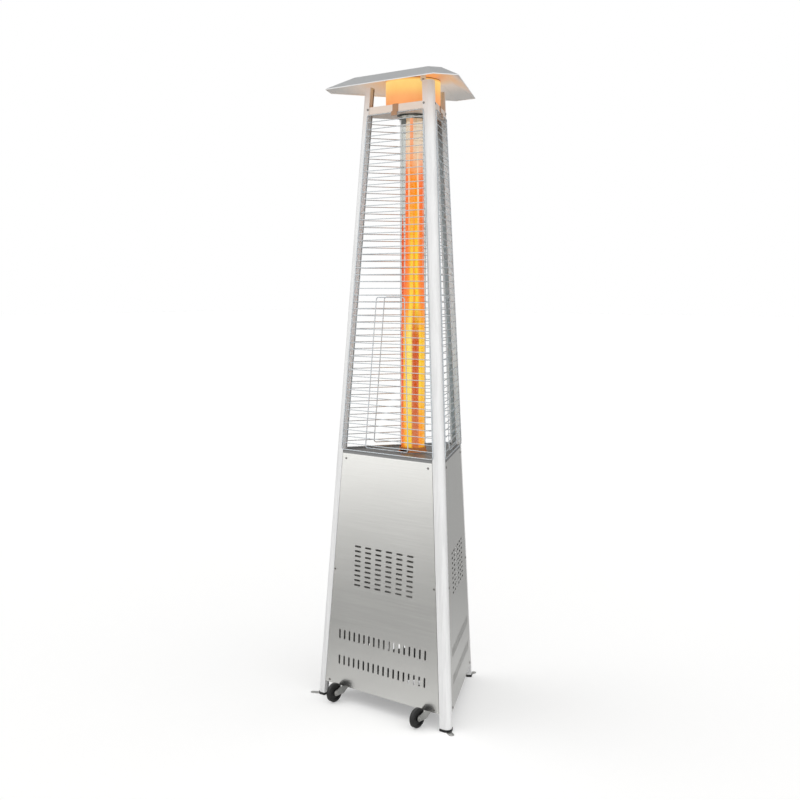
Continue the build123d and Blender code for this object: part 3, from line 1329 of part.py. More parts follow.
def leaf_strip(low, high, outer_inset, inner_inset):
    """A flat stretch of a hinge leaf on the outer side of the face."""
    with BuildSketch(face_plane(CONTROL_FACE, 0)) as leaf:
        polygon(side_strip(low, high, outer_inset, inner_inset, HINGE_SIDE, 0))
    extrude(leaf.sketch, amount=HINGE_LEAF)


def pin_bore(plane):
    """The hole through a hinge barrel."""
    with BuildSketch(plane.offset(-CUT_OVERRUN)) as bore:
        Circle(HINGE_PIN_RADIUS + RUNNING_GAP)
    extrude(bore.sketch, amount=HINGE_HEIGHT + 2 * CUT_OVERRUN, mode=Mode.SUBTRACT)


THIRD = HINGE_HEIGHT / 3
KNUCKLE_CLEAR = HINGE_KNUCKLE_RADIUS + HINGE_SLIT

with BuildPart() as hinge_post_leaves:
    for height in (HINGE_LOW, HINGE_HIGH):
        barrel = hinge_axis_plane(height)
        leaf_strip(height, height + HINGE_HEIGHT, POST_LEAF_INSET, HINGE_INSET - KNUCKLE_CLEAR)
        leaf_strip(height, height + THIRD - HINGE_SLIT, POST_LEAF_INSET, HINGE_INSET)
        leaf_strip(height + 2 * THIRD + HINGE_SLIT, height + HINGE_HEIGHT, POST_LEAF_INSET, HINGE_INSET)
        knuckle(barrel, 0, THIRD - HINGE_SLIT)
        knuckle(barrel, 2 * THIRD + HINGE_SLIT, HINGE_HEIGHT)
        pin_bore(barrel)
save("hinge_post_leaves", hinge_post_leaves)

with BuildPart() as hinge_door_leaves:
    for height in (HINGE_LOW, HINGE_HIGH):
        barrel = hinge_axis_plane(height)
        far_edge = HINGE_INSET + KNUCKLE_CLEAR + DOOR_LEAF_WIDTH
        leaf_strip(height, height + HINGE_HEIGHT, HINGE_INSET + KNUCKLE_CLEAR, far_edge)
        leaf_strip(height + THIRD + HINGE_SLIT, height + 2 * THIRD - HINGE_SLIT, HINGE_INSET, far_edge)
        knuckle(barrel, THIRD, 2 * THIRD)
        pin_bore(barrel)
save("hinge_door_leaves", hinge_door_leaves)

with BuildPart() as hinge_pins:
    for height in (HINGE_LOW, HINGE_HIGH):
        with BuildSketch(hinge_axis_plane(height)):
            Circle(HINGE_PIN_RADIUS)
        extrude(amount=HINGE_HEIGHT)
save("hinge_pins", hinge_pins)

with BuildPart() as access_door:
    vented_sheet(CONTROL_FACE, DOOR_BASE, DOOR_TOP, 0)
save("access_door", access_door)

HANDLE_ALONG = spacing(HANDLE_HEIGHT) / 2 - HANDLE_INSET

with BuildPart() as door_handle:
    with BuildSketch(spot_plane(CONTROL_FACE, 0, HANDLE_ALONG, HANDLE_HEIGHT)):
        Circle(HANDLE_NECK_RADIUS)
    extrude(amount=HANDLE_NECK)
    with BuildSketch(spot_plane(CONTROL_FACE, -HANDLE_NECK, HANDLE_ALONG, HANDLE_HEIGHT)):
        Circle(HANDLE_RADIUS)
    extrude(amount=HANDLE_GRIP)
    fillet(
        door_handle.edges().group_by(Axis(IGNITER_SPOT.origin, IGNITER_SPOT.z_dir))[-1], HANDLE_EDGE
    )
save("door_handle", door_handle)

CATCH_LOW = HANDLE_HEIGHT - CATCH_LENGTH / 2
CATCH_HIGH = HANDLE_HEIGHT + CATCH_LENGTH / 2

with BuildPart() as door_strike:
    with BuildSketch(face_plane(CONTROL_FACE, PANEL_SHEET + FRAME_SHEET)):
        polygon(
            side_strip(
                CATCH_LOW, CATCH_HIGH, PANEL_EDGE, PANEL_EDGE + CATCH_WIDTH, 1, PANEL_SHEET + FRAME_SHEET
            )
        )
    extrude(amount=FRAME_SHEET)
save("door_strike", door_strike)

with BuildPart() as magnetic_catch:
    catch_back = PANEL_SHEET + FRAME_SHEET + SEAT_GAP + CATCH_DEPTH
    with BuildSketch(face_plane(CONTROL_FACE, catch_back)):
        polygon(
            side_strip(CATCH_LOW, CATCH_HIGH, BETWEEN_POSTS, BETWEEN_POSTS + CATCH_WIDTH, 1, catch_back)
        )
    extrude(amount=CATCH_DEPTH)
save("magnetic_catch", magnetic_catch)


# Panel brackets: angles on the posts' returns that the panels' middle screws go into

with BuildPart() as panel_brackets:
    places = [
        (CASTER_FACE, MID_SCREW_HEIGHT),
        (RIGHT_FACE, MID_SCREW_HEIGHT),
        (CONTROL_FACE, FASCIA_SCREW_HEIGHT),
    ]
    for azimuth, height in places:
        low = height - BRACKET_HEIGHT / 2
        high = height + BRACKET_HEIGHT / 2
        for side in (-1, 1):
            back = BACK_OF_PANEL + FRAME_SHEET
            with BuildSketch(face_plane(azimuth, back)):
                polygon(side_strip(low, high, BETWEEN_POSTS, BETWEEN_POSTS + BRACKET_WIDTH, side, back))
            extrude(amount=FRAME_SHEET)
            back = BACK_OF_PANEL + BRACKET_DEPTH
            with BuildSketch(face_plane(azimuth, back)):
                polygon(side_strip(low, high, BETWEEN_POSTS, BETWEEN_POSTS + FRAME_SHEET, side, back))
            extrude(amount=BRACKET_DEPTH)
            screw_hole(azimuth, side, MID_SCREW_INSET, height, BACK_OF_PANEL + FRAME_SHEET)
save("panel_brackets", panel_brackets)


# Screws


def cross_recess():
    """The outline of the driver's cross in a screw's head."""
    Rectangle(2 * RECESS_REACH, RECESS_WIDTH)
    Rectangle(RECESS_WIDTH, 2 * RECESS_REACH)


def face_screw(azimuth, side, inset, height):
    """A pan-head screw from outside a face."""
    along = side * (spacing(height) / 2 - inset)
    spot = spot_plane(azimuth, 0, along, height)
    with BuildSketch(spot) as head:
        Circle(SCREW_HEAD_RADIUS)
    extrude(head.sketch, amount=SCREW_HEAD_HEIGHT, taper=SCREW_HEAD_TAPER)
    with BuildSketch(spot.offset(SCREW_HEAD_HEIGHT)) as recess:
        cross_recess()
    extrude(recess.sketch, amount=-RECESS_DEPTH, mode=Mode.SUBTRACT)
    with BuildSketch(spot) as shank:
        Circle(SCREW_RADIUS)
    extrude(shank.sketch, amount=-SCREW_LENGTH)


with BuildPart() as body_screws:
    for side in (-1, 1):
        for azimuth in (CASTER_FACE, RIGHT_FACE):
            face_screw(azimuth, side, TOP_SCREW_INSET, TOP_SCREW_HEIGHT)
            face_screw(azimuth, side, MID_SCREW_INSET, MID_SCREW_HEIGHT)
            face_screw(azimuth, side, LOW_SCREW_INSET, LOW_SCREW_HEIGHT)
        face_screw(CONTROL_FACE, side, TOP_SCREW_INSET, TOP_SCREW_HEIGHT)
        face_screw(CONTROL_FACE, side, MID_SCREW_INSET, FASCIA_SCREW_HEIGHT)
        for azimuth in FACES.values():
            face_screw(azimuth, side, UPPER_SCREW_INSET, UPPER_SCREW_HEIGHT)
save("body_screws", body_screws)

with BuildPart() as deck_screws:
    for spots, seat in (
        (deck_screw_spots(), DECK_TOP),
        ([(spot.X, spot.Y) for spot in burner_screw_spots()], DECK_TOP + FRAME_SHEET),
    ):
        with BuildSketch(Plane.XY.offset(seat)):
            with Locations(*spots):
                Circle(SCREW_HEAD_RADIUS)
        extrude(amount=SCREW_HEAD_HEIGHT, taper=SCREW_HEAD_TAPER)
        with BuildSketch(Plane.XY.offset(seat + SCREW_HEAD_HEIGHT)):
            with Locations(*spots):
                cross_recess()
        extrude(amount=-RECESS_DEPTH, mode=Mode.SUBTRACT)
        with BuildSketch(Plane.XY.offset(seat - SCREW_LENGTH)):
            with Locations(*spots):
                Circle(SCREW_RADIUS)
        extrude(amount=SCREW_LENGTH)
save("deck_screws", deck_screws)


# Casters

WHEEL_HEIGHT = WHEEL_RIDE + WHEEL_RADIUS
CHORD_DROP = PANEL_BASE - WHEEL_HEIGHT
WHEEL_CHORD = sqrt(WHEEL_RADIUS**2 - CHORD_DROP**2)
WHEEL_Y = -(face_distance(PANEL_BASE) + WHEEL_PANEL_GAP + WHEEL_CHORD)


def across_plane(x):
    """A plane square to X: its x runs along Y and its y up."""
    return Plane(origin=(x, 0, 0), x_dir=(0, 1, 0), z_dir=(1, 0, 0))


for name, side in (("left", -1), ("right", 1)):
    middle = side * WHEEL_SPREAD
    with BuildPart() as caster_wheel:
        with BuildSketch(across_plane(middle)):
            with Locations((WHEEL_Y, WHEEL_HEIGHT)):
                Circle(WHEEL_RADIUS)
        extrude(amount=WHEEL_WIDTH / 2, both=True)
        chamfer(caster_wheel.edges().filter_by(GeomType.CIRCLE), WHEEL_EDGE)
        for hand in (-1, 1):
            with BuildSketch(across_plane(middle + hand * WHEEL_WEB / 2)):
                with Locations((WHEEL_Y, WHEEL_HEIGHT)):
                    Circle(WHEEL_RIM_RADIUS)
                    Circle(WHEEL_HUB_RADIUS, mode=Mode.SUBTRACT)
            extrude(amount=hand * WHEEL_WIDTH, mode=Mode.SUBTRACT)
        with BuildSketch(across_plane(middle)):
            with Locations((WHEEL_Y, WHEEL_HEIGHT)):
                Circle(AXLE_RADIUS + RUNNING_GAP)
        extrude(amount=WHEEL_WIDTH, both=True, mode=Mode.SUBTRACT)
    save(f"caster_wheel_{name}", caster_wheel)

CASTER_TOP = TRAY_BASE

with BuildPart() as caster_brackets:
    for side in (-1, 1):
        inner_x = side * WHEEL_SPREAD + CASTER_PLATE_OFFSET
        with BuildSketch(across_plane(inner_x)) as side_sketch:
            with Locations((WHEEL_Y, WHEEL_HEIGHT)):
                Circle(CASTER_PLATE_NOSE)
            polygon(
                [
                    (WHEEL_Y, WHEEL_HEIGHT - CASTER_PLATE_NOSE),
                    (CASTER_FOOT_Y, WHEEL_HEIGHT - CASTER_PLATE_NOSE),
                    (CASTER_FOOT_Y + CASTER_FOOT_LENGTH, CASTER_TOP - CASTER_PLATE),
                    (CASTER_FOOT_Y + CASTER_FOOT_LENGTH, CASTER_TOP),
                    (CASTER_FOOT_Y, CASTER_TOP),
                    (WHEEL_Y, WHEEL_HEIGHT + CASTER_PLATE_NOSE),
                ]
            )
            with Locations((WHEEL_Y, WHEEL_HEIGHT)):
                Circle(AXLE_RADIUS + SCREW_HOLE_GAP, mode=Mode.SUBTRACT)
        extrude(amount=CASTER_PLATE)
        with BuildSketch(Plane.XY.offset(CASTER_TOP - CASTER_PLATE)):
            with Locations((inner_x + CASTER_FOOT_WIDTH / 2, CASTER_FOOT_Y + CASTER_FOOT_LENGTH / 2)):
                Rectangle(CASTER_FOOT_WIDTH, CASTER_FOOT_LENGTH)
        extrude(amount=CASTER_PLATE)
    with BuildSketch(Plane.XY.offset(CASTER_TOP - CASTER_PLATE - CUT_OVERRUN)):
        with Locations(*caster_bolt_spots()):
            Circle(CASTER_BOLT_RADIUS + SCREW_HOLE_GAP)
    extrude(amount=CASTER_PLATE + 2 * CUT_OVERRUN, mode=Mode.SUBTRACT)
save("caster_brackets", caster_brackets)

with BuildPart() as caster_bolts:
    plate_under = CASTER_TOP - CASTER_PLATE
    tray_over = TRAY_BASE + FRAME_SHEET
    with BuildSketch(Plane.XY.offset(plate_under - CASTER_BOLT_HEAD_HEIGHT)):
        with Locations(*caster_bolt_spots()):
            Circle(CASTER_BOLT_HEAD_RADIUS)
    extrude(amount=CASTER_BOLT_HEAD_HEIGHT)
    with BuildSketch(Plane.XY.offset(plate_under)):
        with Locations(*caster_bolt_spots()):
            Circle(CASTER_BOLT_RADIUS)
    extrude(amount=tray_over - plate_under + CASTER_NUT_HEIGHT + CASTER_BOLT_TAIL)
    with BuildSketch(Plane.XY.offset(tray_over)):
        with Locations(*caster_bolt_spots()):
            RegularPolygon(CASTER_BOLT_HEAD_RADIUS, 6)
    extrude(amount=CASTER_NUT_HEIGHT)
save("caster_bolts", caster_bolts)

with BuildPart() as caster_axles:
    for side in (-1, 1):
        head_x = side * WHEEL_SPREAD - WHEEL_WIDTH / 2 - CASTER_SIDE_GAP
        nut_x = side * WHEEL_SPREAD + CASTER_PLATE_OFFSET + CASTER_PLATE
        with BuildSketch(across_plane(head_x)):
            with Locations((WHEEL_Y, WHEEL_HEIGHT)):
                Circle(AXLE_HEAD_RADIUS)
        extrude(amount=-AXLE_HEAD_HEIGHT)
        with BuildSketch(across_plane(head_x)):
            with Locations((WHEEL_Y, WHEEL_HEIGHT)):
                Circle(AXLE_RADIUS)
        extrude(amount=nut_x - head_x + AXLE_HEAD_HEIGHT)
        with BuildSketch(across_plane(nut_x)):
            with Locations((WHEEL_Y, WHEEL_HEIGHT)):
                RegularPolygon(AXLE_HEAD_RADIUS, 6)
        extrude(amount=AXLE_HEAD_HEIGHT)
save("caster_axles", caster_axles)
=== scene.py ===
import json
import math

import bmesh
import bpy
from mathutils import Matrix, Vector


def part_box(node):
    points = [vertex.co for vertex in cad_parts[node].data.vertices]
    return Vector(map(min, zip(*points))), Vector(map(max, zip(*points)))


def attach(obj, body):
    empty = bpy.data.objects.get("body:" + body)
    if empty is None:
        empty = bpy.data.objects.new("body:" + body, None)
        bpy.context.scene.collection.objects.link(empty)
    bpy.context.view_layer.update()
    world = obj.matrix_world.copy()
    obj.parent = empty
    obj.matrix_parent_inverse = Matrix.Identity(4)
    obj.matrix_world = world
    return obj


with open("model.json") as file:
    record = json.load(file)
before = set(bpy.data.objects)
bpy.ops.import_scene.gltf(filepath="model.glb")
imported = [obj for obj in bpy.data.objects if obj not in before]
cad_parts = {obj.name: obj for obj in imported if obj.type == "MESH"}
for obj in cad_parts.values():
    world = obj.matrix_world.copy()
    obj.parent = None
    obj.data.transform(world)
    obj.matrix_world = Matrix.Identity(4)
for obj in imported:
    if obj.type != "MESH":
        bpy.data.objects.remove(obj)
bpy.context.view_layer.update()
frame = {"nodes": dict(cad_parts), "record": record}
nodes = frame["nodes"]

CAMERA_AZIMUTH = math.radians(-50.4)
CAMERA_RIGHT = CAMERA_AZIMUTH + math.radians(90.0)
BUMP_DEPTH = 0.0002
# Factors on x, y and z that leave a direction's level part
LEVEL = (1, 1, 0)
# A face points to the floor when its normal's z is under this
DOWNWARD = -0.05
# A face points fully to the axis when its normal does so by this share
INWARD = 0.25
# Noise values between which a surface goes from dark to light, and how far its gloss swings
STREAK_LOW = 0.3
STREAK_HIGH = 0.7
BRUSH_GLOSS_SWING = 0.05
GRAIN_GLOSS_SWING = 0.06
BRUSH_BUMP = 0.35
NOISE_ROUGHNESS = 0.55
GRAIN_SCALE = 900.0
CLOUD_SCALE = 30.0
SMUDGE_SCALE = 5.0


# Material helpers


def new_material(name):
    """A material with an empty tree, its shader and its object coordinates."""
    mat = bpy.data.materials.new(name)
    mat.use_nodes = True
    tree = mat.node_tree
    tree.nodes.clear()
    out = tree.nodes.new("ShaderNodeOutputMaterial")
    bsdf = tree.nodes.new("ShaderNodeBsdfPrincipled")
    tree.links.new(bsdf.outputs[0], out.inputs[0])
    coords = tree.nodes.new("ShaderNodeTexCoord").outputs["Object"]
    return mat, tree, bsdf, coords, out


def noise(tree, coords, scale, stretch=(1, 1, 1), detail=4.0):
    """A noise value over coordinates stretched along the axes."""
    mapping = tree.nodes.new("ShaderNodeMapping")
    mapping.inputs["Scale"].default_value = stretch
    tree.links.new(coords, mapping.inputs["Vector"])
    tex = tree.nodes.new("ShaderNodeTexNoise")
    tex.inputs["Scale"].default_value = scale
    tex.inputs["Detail"].default_value = detail
    tex.inputs["Roughness"].default_value = NOISE_ROUGHNESS
    tree.links.new(mapping.outputs[0], tex.inputs["Vector"])
    return tex.outputs["Fac"]


def ramp(tree, factor, stops):
    """A colour ramp with stops given as (place, colour)."""
    node = tree.nodes.new("ShaderNodeValToRGB")
    elements = node.color_ramp.elements
    elements[0].position, elements[0].color = stops[0][0], (*stops[0][1], 1.0)
    elements[1].position, elements[1].color = stops[-1][0], (*stops[-1][1], 1.0)
    for place, colour in stops[1:-1]:
        elements.new(place).color = (*colour, 1.0)
    tree.links.new(factor, node.inputs[0])
    return node.outputs[0]


def spread(tree, value, low, high, out_low, out_high):
    """A value mapped from one range to another, held at its ends."""
    node = tree.nodes.new("ShaderNodeMapRange")
    node.inputs["From Min"].default_value = low
    node.inputs["From Max"].default_value = high
    node.inputs["To Min"].default_value = out_low
    node.inputs["To Max"].default_value = out_high
    tree.links.new(value, node.inputs["Value"])
    return node.outputs[0]


def math_node(tree, kind, a, b=None):
    """One arithmetic node over values or numbers."""
    node = tree.nodes.new("ShaderNodeMath")
    node.operation = kind
    for socket, value in zip(node.inputs, (a, b)):
        if value is None:
            continue
        if isinstance(value, (int, float)):
            socket.default_value = value
        else:
            tree.links.new(value, socket)
    return node.outputs[0]


def mix_colour(tree, factor, a, b, blend="MIX"):
    """Two colours mixed by a factor."""
    node = tree.nodes.new("ShaderNodeMix")
    node.data_type = "RGBA"
    node.blend_type = blend
    for socket, value in ((node.inputs[0], factor), (node.inputs[6], a), (node.inputs[7], b)):
        if isinstance(value, (int, float)):
            socket.default_value = value
        elif isinstance(value, tuple):
            socket.default_value = (*value, 1.0)
        else:
            tree.links.new(value, socket)
    return node.outputs[2]


def blend_value(tree, factor, a, b):
    """A value that goes from a to b with the factor."""
    node = tree.nodes.new("ShaderNodeMix")
    for socket, value in ((node.inputs[0], factor), (node.inputs[2], a), (node.inputs[3], b)):
        if isinstance(value, (int, float)):
            socket.default_value = value
        else:
            tree.links.new(value, socket)
    return node.outputs[0]


def bump(tree, bsdf, height, strength):
    """A shallow bump from a height value."""
    node = tree.nodes.new("ShaderNodeBump")
    node.inputs["Strength"].default_value = strength
    node.inputs["Distance"].default_value = BUMP_DEPTH
    tree.links.new(height, node.inputs["Height"])
    tree.links.new(node.outputs[0], bsdf.inputs["Normal"])


def grey(level):
    """A grey of a level."""
    return (level, level, level)


def shade(colour, factor):
    """A colour made lighter or darker."""
    return tuple(min(1.0, c * factor) for c in colour)


def height_of(tree, coords):
    """The height in metres."""
    node = tree.nodes.new("ShaderNodeSeparateXYZ")
    tree.links.new(coords, node.inputs[0])
    return node.outputs[2]


def distance_out(tree, coords):
    """The level distance from the tube's axis."""
    node = tree.nodes.new("ShaderNodeVectorMath")
    node.operation = "MULTIPLY"
    node.inputs[1].default_value = LEVEL
    tree.links.new(coords, node.inputs[0])
    length = tree.nodes.new("ShaderNodeVectorMath")
    length.operation = "LENGTH"
    tree.links.new(node.outputs[0], length.inputs[0])
    return length.outputs["Value"]


def facing_down(tree):
    """1 on surfaces that face the floor, 0 on the rest."""
    node = tree.nodes.new("ShaderNodeSeparateXYZ")
    tree.links.new(tree.nodes.new("ShaderNodeNewGeometry").outputs["True Normal"], node.inputs[0])
    return math_node(tree, "LESS_THAN", node.outputs[2], DOWNWARD)


def facing_in(tree, coords):
    """1 on surfaces that face the tube's axis, 0 on those that face away from it."""
    flat = tree.nodes.new("ShaderNodeVectorMath")
    flat.operation = "MULTIPLY"
    flat.inputs[1].default_value = tuple(-share for share in LEVEL)
    tree.links.new(coords, flat.inputs[0])
    inward = tree.nodes.new("ShaderNodeVectorMath")
    inward.operation = "NORMALIZE"
    tree.links.new(flat.outputs[0], inward.inputs[0])
    dot = tree.nodes.new("ShaderNodeVectorMath")
    dot.operation = "DOT_PRODUCT"
    tree.links.new(inward.outputs[0], dot.inputs[0])
    tree.links.new(tree.nodes.new("ShaderNodeNewGeometry").outputs["True Normal"], dot.inputs[1])
    return spread(tree, dot.outputs["Value"], 0.0, INWARD, 0.0, 1.0)


def brush(parts, colour, rough, stretch, contrast=0.05, smudge=0.04, metallic=1.0):
    """Brushing for a steel: fine streaks one way over soft smudges, in colour, gloss and bump.

    The colour is a tuple, or a socket for a tint that changes over the piece."""
    mat, tree, bsdf, coords, _ = parts
    streaks = noise(tree, coords, 1.0, stretch, detail=3.0)
    clouds = noise(tree, coords, SMUDGE_SCALE, detail=2.0)
    light = ramp(tree, streaks, [(STREAK_LOW, grey(1 - contrast)), (STREAK_HIGH, grey(1.0))])
    soft = ramp(tree, clouds, [(STREAK_LOW, grey(1 - smudge)), (STREAK_HIGH, grey(1.0))])
    worn = mix_colour(tree, 1.0, light, soft, "MULTIPLY")
    tree.links.new(mix_colour(tree, 1.0, worn, colour, "MULTIPLY"), bsdf.inputs["Base Color"])
    gloss = spread(
        tree, streaks, STREAK_LOW, STREAK_HIGH, rough - BRUSH_GLOSS_SWING, rough + BRUSH_GLOSS_SWING
    )
    tree.links.new(gloss, bsdf.inputs["Roughness"])
    bsdf.inputs["Metallic"].default_value = metallic
    bump(tree, bsdf, streaks, BRUSH_BUMP)
    return mat


def brushed(name, colour, rough, stretch, **settings):
    """Brushed steel of one colour."""
    return brush(new_material(name), colour, rough, stretch, **settings)


def grained(name, colour, rough, contrast=0.25, strength=0.3, metallic=0.0):
    """A moulded, cast or plated surface with a fine grain."""
    mat, tree, bsdf, coords, _ = new_material(name)
    grain = noise(tree, coords, GRAIN_SCALE, detail=2.0)
    clouds = noise(tree, coords, CLOUD_SCALE, detail=3.0)
    dark = shade(colour, 1 - contrast)
    light = shade(colour, 1 + contrast)
    tree.links.new(
        ramp(tree, clouds, [(STREAK_LOW, dark), (STREAK_HIGH, light)]), bsdf.inputs["Base Color"]
    )
    gloss = spread(
        tree, clouds, STREAK_LOW, STREAK_HIGH, rough - GRAIN_GLOSS_SWING, rough + GRAIN_GLOSS_SWING
    )
    tree.links.new(gloss, bsdf.inputs["Roughness"])
    bsdf.inputs["Metallic"].default_value = metallic
    bump(tree, bsdf, grain, strength)
    return mat


# Materials of the CAD nodes

# How far the streaks of a brushed surface are stretched along x, y and z
LEVEL_BRUSH = (3.0, 3.0, 900.0)
UPRIGHT_BRUSH = (700.0, 700.0, 2.0)
CANOPY_BRUSH = (250.0, 3.0, 250.0)
DECK_BRUSH = (3.0, 500.0, 500.0)
WIRE_BRUSH = (60.0, 60.0, 60.0)

STEEL = (0.97, 0.97, 0.968)
CREAM_STEEL = (0.92, 0.915, 0.885)
HEAT_TINT_AND_WARM_LIGHT_STEEL = (0.97, 0.87, 0.81)
PAINTED_SHADE_STEEL = (0.56, 0.56, 0.56)
SHADED_INNER_FACE_STEEL = (0.82, 0.885, 0.91)

# Heights in metres between which the posts' tints come in: painted shade on the inner faces, and a
# heat tint with painted warm light at the top
POST_INNER_SHADE = (0.94, 1.00)
POST_PAINTED_SHADE = (2.06, 2.22)
POST_HEAT_TINT_AND_WARM_LIGHT = (2.10, 2.30)
# Faint upright bands along the posts
POST_BANDS = (90.0, 90.0, 0.6)
POST_BAND_STOPS = [(0.35, grey(0.93)), (0.55, grey(1.0))]


def post_material():
    """Satin steel with a heat tint and painted warm light at the posts' tops, and painted shade on
    the faces towards the flame, darkest near the top.
    """
    parts = new_material("post_steel")
    _, tree, _, coords, _ = parts
    height = height_of(tree, coords)
    # Heat tint with painted warm light from the drum towards the posts' tops
    heat_tint_and_warm_light = spread(tree, height, *POST_HEAT_TINT_AND_WARM_LIGHT, 0.0, 1.0)
    colour = mix_colour(tree, heat_tint_and_warm_light, STEEL, HEAT_TINT_AND_WARM_LIGHT_STEEL)
    inner = facing_in(tree, coords)
    # Painted shade: faces towards the axis above the deck turn a darker bluish grey
    inner_shade = math_node(tree, "MULTIPLY", inner, spread(tree, height, *POST_INNER_SHADE, 0.0, 1.0))
    colour = mix_colour(tree, inner_shade, colour, SHADED_INNER_FACE_STEEL)
    # Darker painted shade on those inner faces near the top, beside the drum
    painted_shade = math_node(tree, "MULTIPLY", inner, spread(tree, height, *POST_PAINTED_SHADE, 0.0, 1.0))
    colour = mix_colour(tree, painted_shade, colour, PAINTED_SHADE_STEEL)
    bands = noise(tree, coords, 1.0, POST_BANDS, detail=1.0)
    banded = ramp(tree, bands, POST_BAND_STOPS)
    colour = mix_colour(tree, 1.0, colour, banded, "MULTIPLY")
    return brush(
        parts, colour, rough=0.50, stretch=UPRIGHT_BRUSH, contrast=0.04, smudge=0.02, metallic=0.25
    )


HEM_HEIGHT = 0.0035
CANOPY_TOP = (0.59, 0.60, 0.605)
# A painted highlight along the hem
CANOPY_HEM_HIGHLIGHT = (0.88, 0.88, 0.88)
# Distances from the axis between which the underside's tints follow one another: a heat tint with
# painted warm light from the drum, strongest near it
CANOPY_TINT_AND_GLOW_REACH = (0.10, 0.36)
CANOPY_HEAT_TINTS_AND_PAINTED_GLOW = [
    (0.0, (0.98, 0.56, 0.28)),
    (0.22, (1.00, 0.74, 0.50)),
    (0.45, (0.97, 0.88, 0.80)),
    (0.70, (0.76, 0.74, 0.71)),
    (1.0, (0.68, 0.67, 0.655)),
]
# Strength of the painted glow that the underside gives off near the drum
CANOPY_GLOW = 0.20
CANOPY_GLOW_END_SHARE = 0.62
CANOPY_METALLIC_TOP = 0.55
CANOPY_METALLIC_UNDER = 0.20


def canopy_material():
    """Steel, plain on top with a painted highlight along its hem, and below a heat tint with
    painted warm light and a painted glow from the drum, most of all at its middle.
    """
    parts = new_material("canopy_steel")
    _, tree, bsdf, coords, _ = parts
    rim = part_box("canopy")[0][2]
    out = spread(tree, distance_out(tree, coords), *CANOPY_TINT_AND_GLOW_REACH, 0.0, 1.0)
    tint = ramp(tree, out, CANOPY_HEAT_TINTS_AND_PAINTED_GLOW)
    # A painted highlight on the band along the hem
    hem_highlight = math_node(tree, "LESS_THAN", height_of(tree, coords), rim + HEM_HEIGHT)
    outside = mix_colour(tree, hem_highlight, CANOPY_TOP, CANOPY_HEM_HIGHLIGHT)
    under = facing_down(tree)
    colour = mix_colour(tree, under, outside, tint)
    mat = brush(parts, colour, rough=0.40, stretch=CANOPY_BRUSH, metallic=CANOPY_METALLIC_TOP)
    metallic = blend_value(tree, under, CANOPY_METALLIC_TOP, CANOPY_METALLIC_UNDER)
    tree.links.new(metallic, bsdf.inputs["Metallic"])
    # Painted glow: the underside gives off its warm tint as light near the drum
    tree.links.new(tint, bsdf.inputs["Emission Color"])
    painted_glow = spread(tree, out, 0.0, CANOPY_GLOW_END_SHARE, CANOPY_GLOW, 0.0)
    tree.links.new(math_node(tree, "MULTIPLY", painted_glow, under), bsdf.inputs["Emission Strength"])
    return mat


# Colours up the drum as shares of its height: its painted glow, with painted shade in the dark band
# at its top
SCREEN_PAINTED_GLOW_AND_SHADE = [
    (0.0, (0.94, 0.37, 0.13)),
    (0.30, (0.94, 0.44, 0.155)),
    (0.62, (0.97, 0.62, 0.19)),
    (0.88, (0.98, 0.70, 0.23)),
    (0.955, (0.90, 0.45, 0.10)),
    (0.975, (0.25, 0.07, 0.02)),
]
SCREEN_PATCH_SCALE = 22.0
SCREEN_PATCH_STRETCH = (1, 1, 0.6)
SCREEN_PATCHES = [(0.3, (0.94, 0.90, 0.84)), (0.7, grey(1.0))]
SCREEN_UNLIT = grey(0.4)
SCREEN_STRENGTH = 0.78
SCREEN_METALLIC = 0.2
SCREEN_ROUGHNESS = 0.5
SCREEN_BUMP = 0.15


def screen_material():
    """The drum's steel, coloured and lit by a painted glow as if lit through from inside, with
    painted shade in a dark band at its top.
    """
    mat, tree, bsdf, coords, _ = new_material("screen_steel")
    low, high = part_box("flame_screen")
    share = spread(tree, height_of(tree, coords), low[2], high[2], 0.0, 1.0)
    painted_glow = ramp(tree, share, SCREEN_PAINTED_GLOW_AND_SHADE)
    patches = noise(tree, coords, SCREEN_PATCH_SCALE, SCREEN_PATCH_STRETCH, detail=3.0)
    lit = mix_colour(tree, 1.0, painted_glow, ramp(tree, patches, SCREEN_PATCHES), "MULTIPLY")
    unlit = mix_colour(tree, 1.0, lit, SCREEN_UNLIT, "MULTIPLY")
    tree.links.new(unlit, bsdf.inputs["Base Color"])
    # Painted glow: the drum gives off light though it is no lamp
    tree.links.new(lit, bsdf.inputs["Emission Color"])
    bsdf.inputs["Emission Strength"].default_value = SCREEN_STRENGTH
    bsdf.inputs["Metallic"].default_value = SCREEN_METALLIC
    bsdf.inputs["Roughness"].default_value = SCREEN_ROUGHNESS
    bump(tree, bsdf, noise(tree, coords, 1.0, LEVEL_BRUSH), SCREEN_BUMP)
    return mat


RING_WALL = 0.015
RING_CLIP = (0.17, 0.18, 0.17)
RING_DARK = (0.05, 0.055, 0.05)
RING_PALE = (0.66, 0.69, 0.65)
# Colours up the wall as shares of its height, with the clip below it
RING_BANDS = [
    (0.0, RING_CLIP), (0.02, RING_DARK), (0.16, RING_DARK), (0.20, RING_PALE),
    (0.74, RING_PALE), (0.80, RING_DARK), (1.0, RING_DARK),
]


def ring_material():
    """The tube's ring: pale green-grey wall between a dark rolled edge and a dark flange."""
    parts = new_material("ring_steel")
    _, tree, _, coords, _ = parts
    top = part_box("tube_top_ring")[1][2]
    share = spread(tree, height_of(tree, coords), top - RING_WALL, top, 0.0, 1.0)
    return brush(parts, ramp(tree, share, RING_BANDS), rough=0.35, stretch=LEVEL_BRUSH)


# Distances from the axis between which the seat's wall ends
SEAT_WALL_REACH = (0.052, 0.058)
# Painted orange light from the flame on the seat's wall
SEAT_PAINTED_GLOW = (0.66, 0.25, 0.07)
SEAT_GREY = (0.27, 0.265, 0.26)


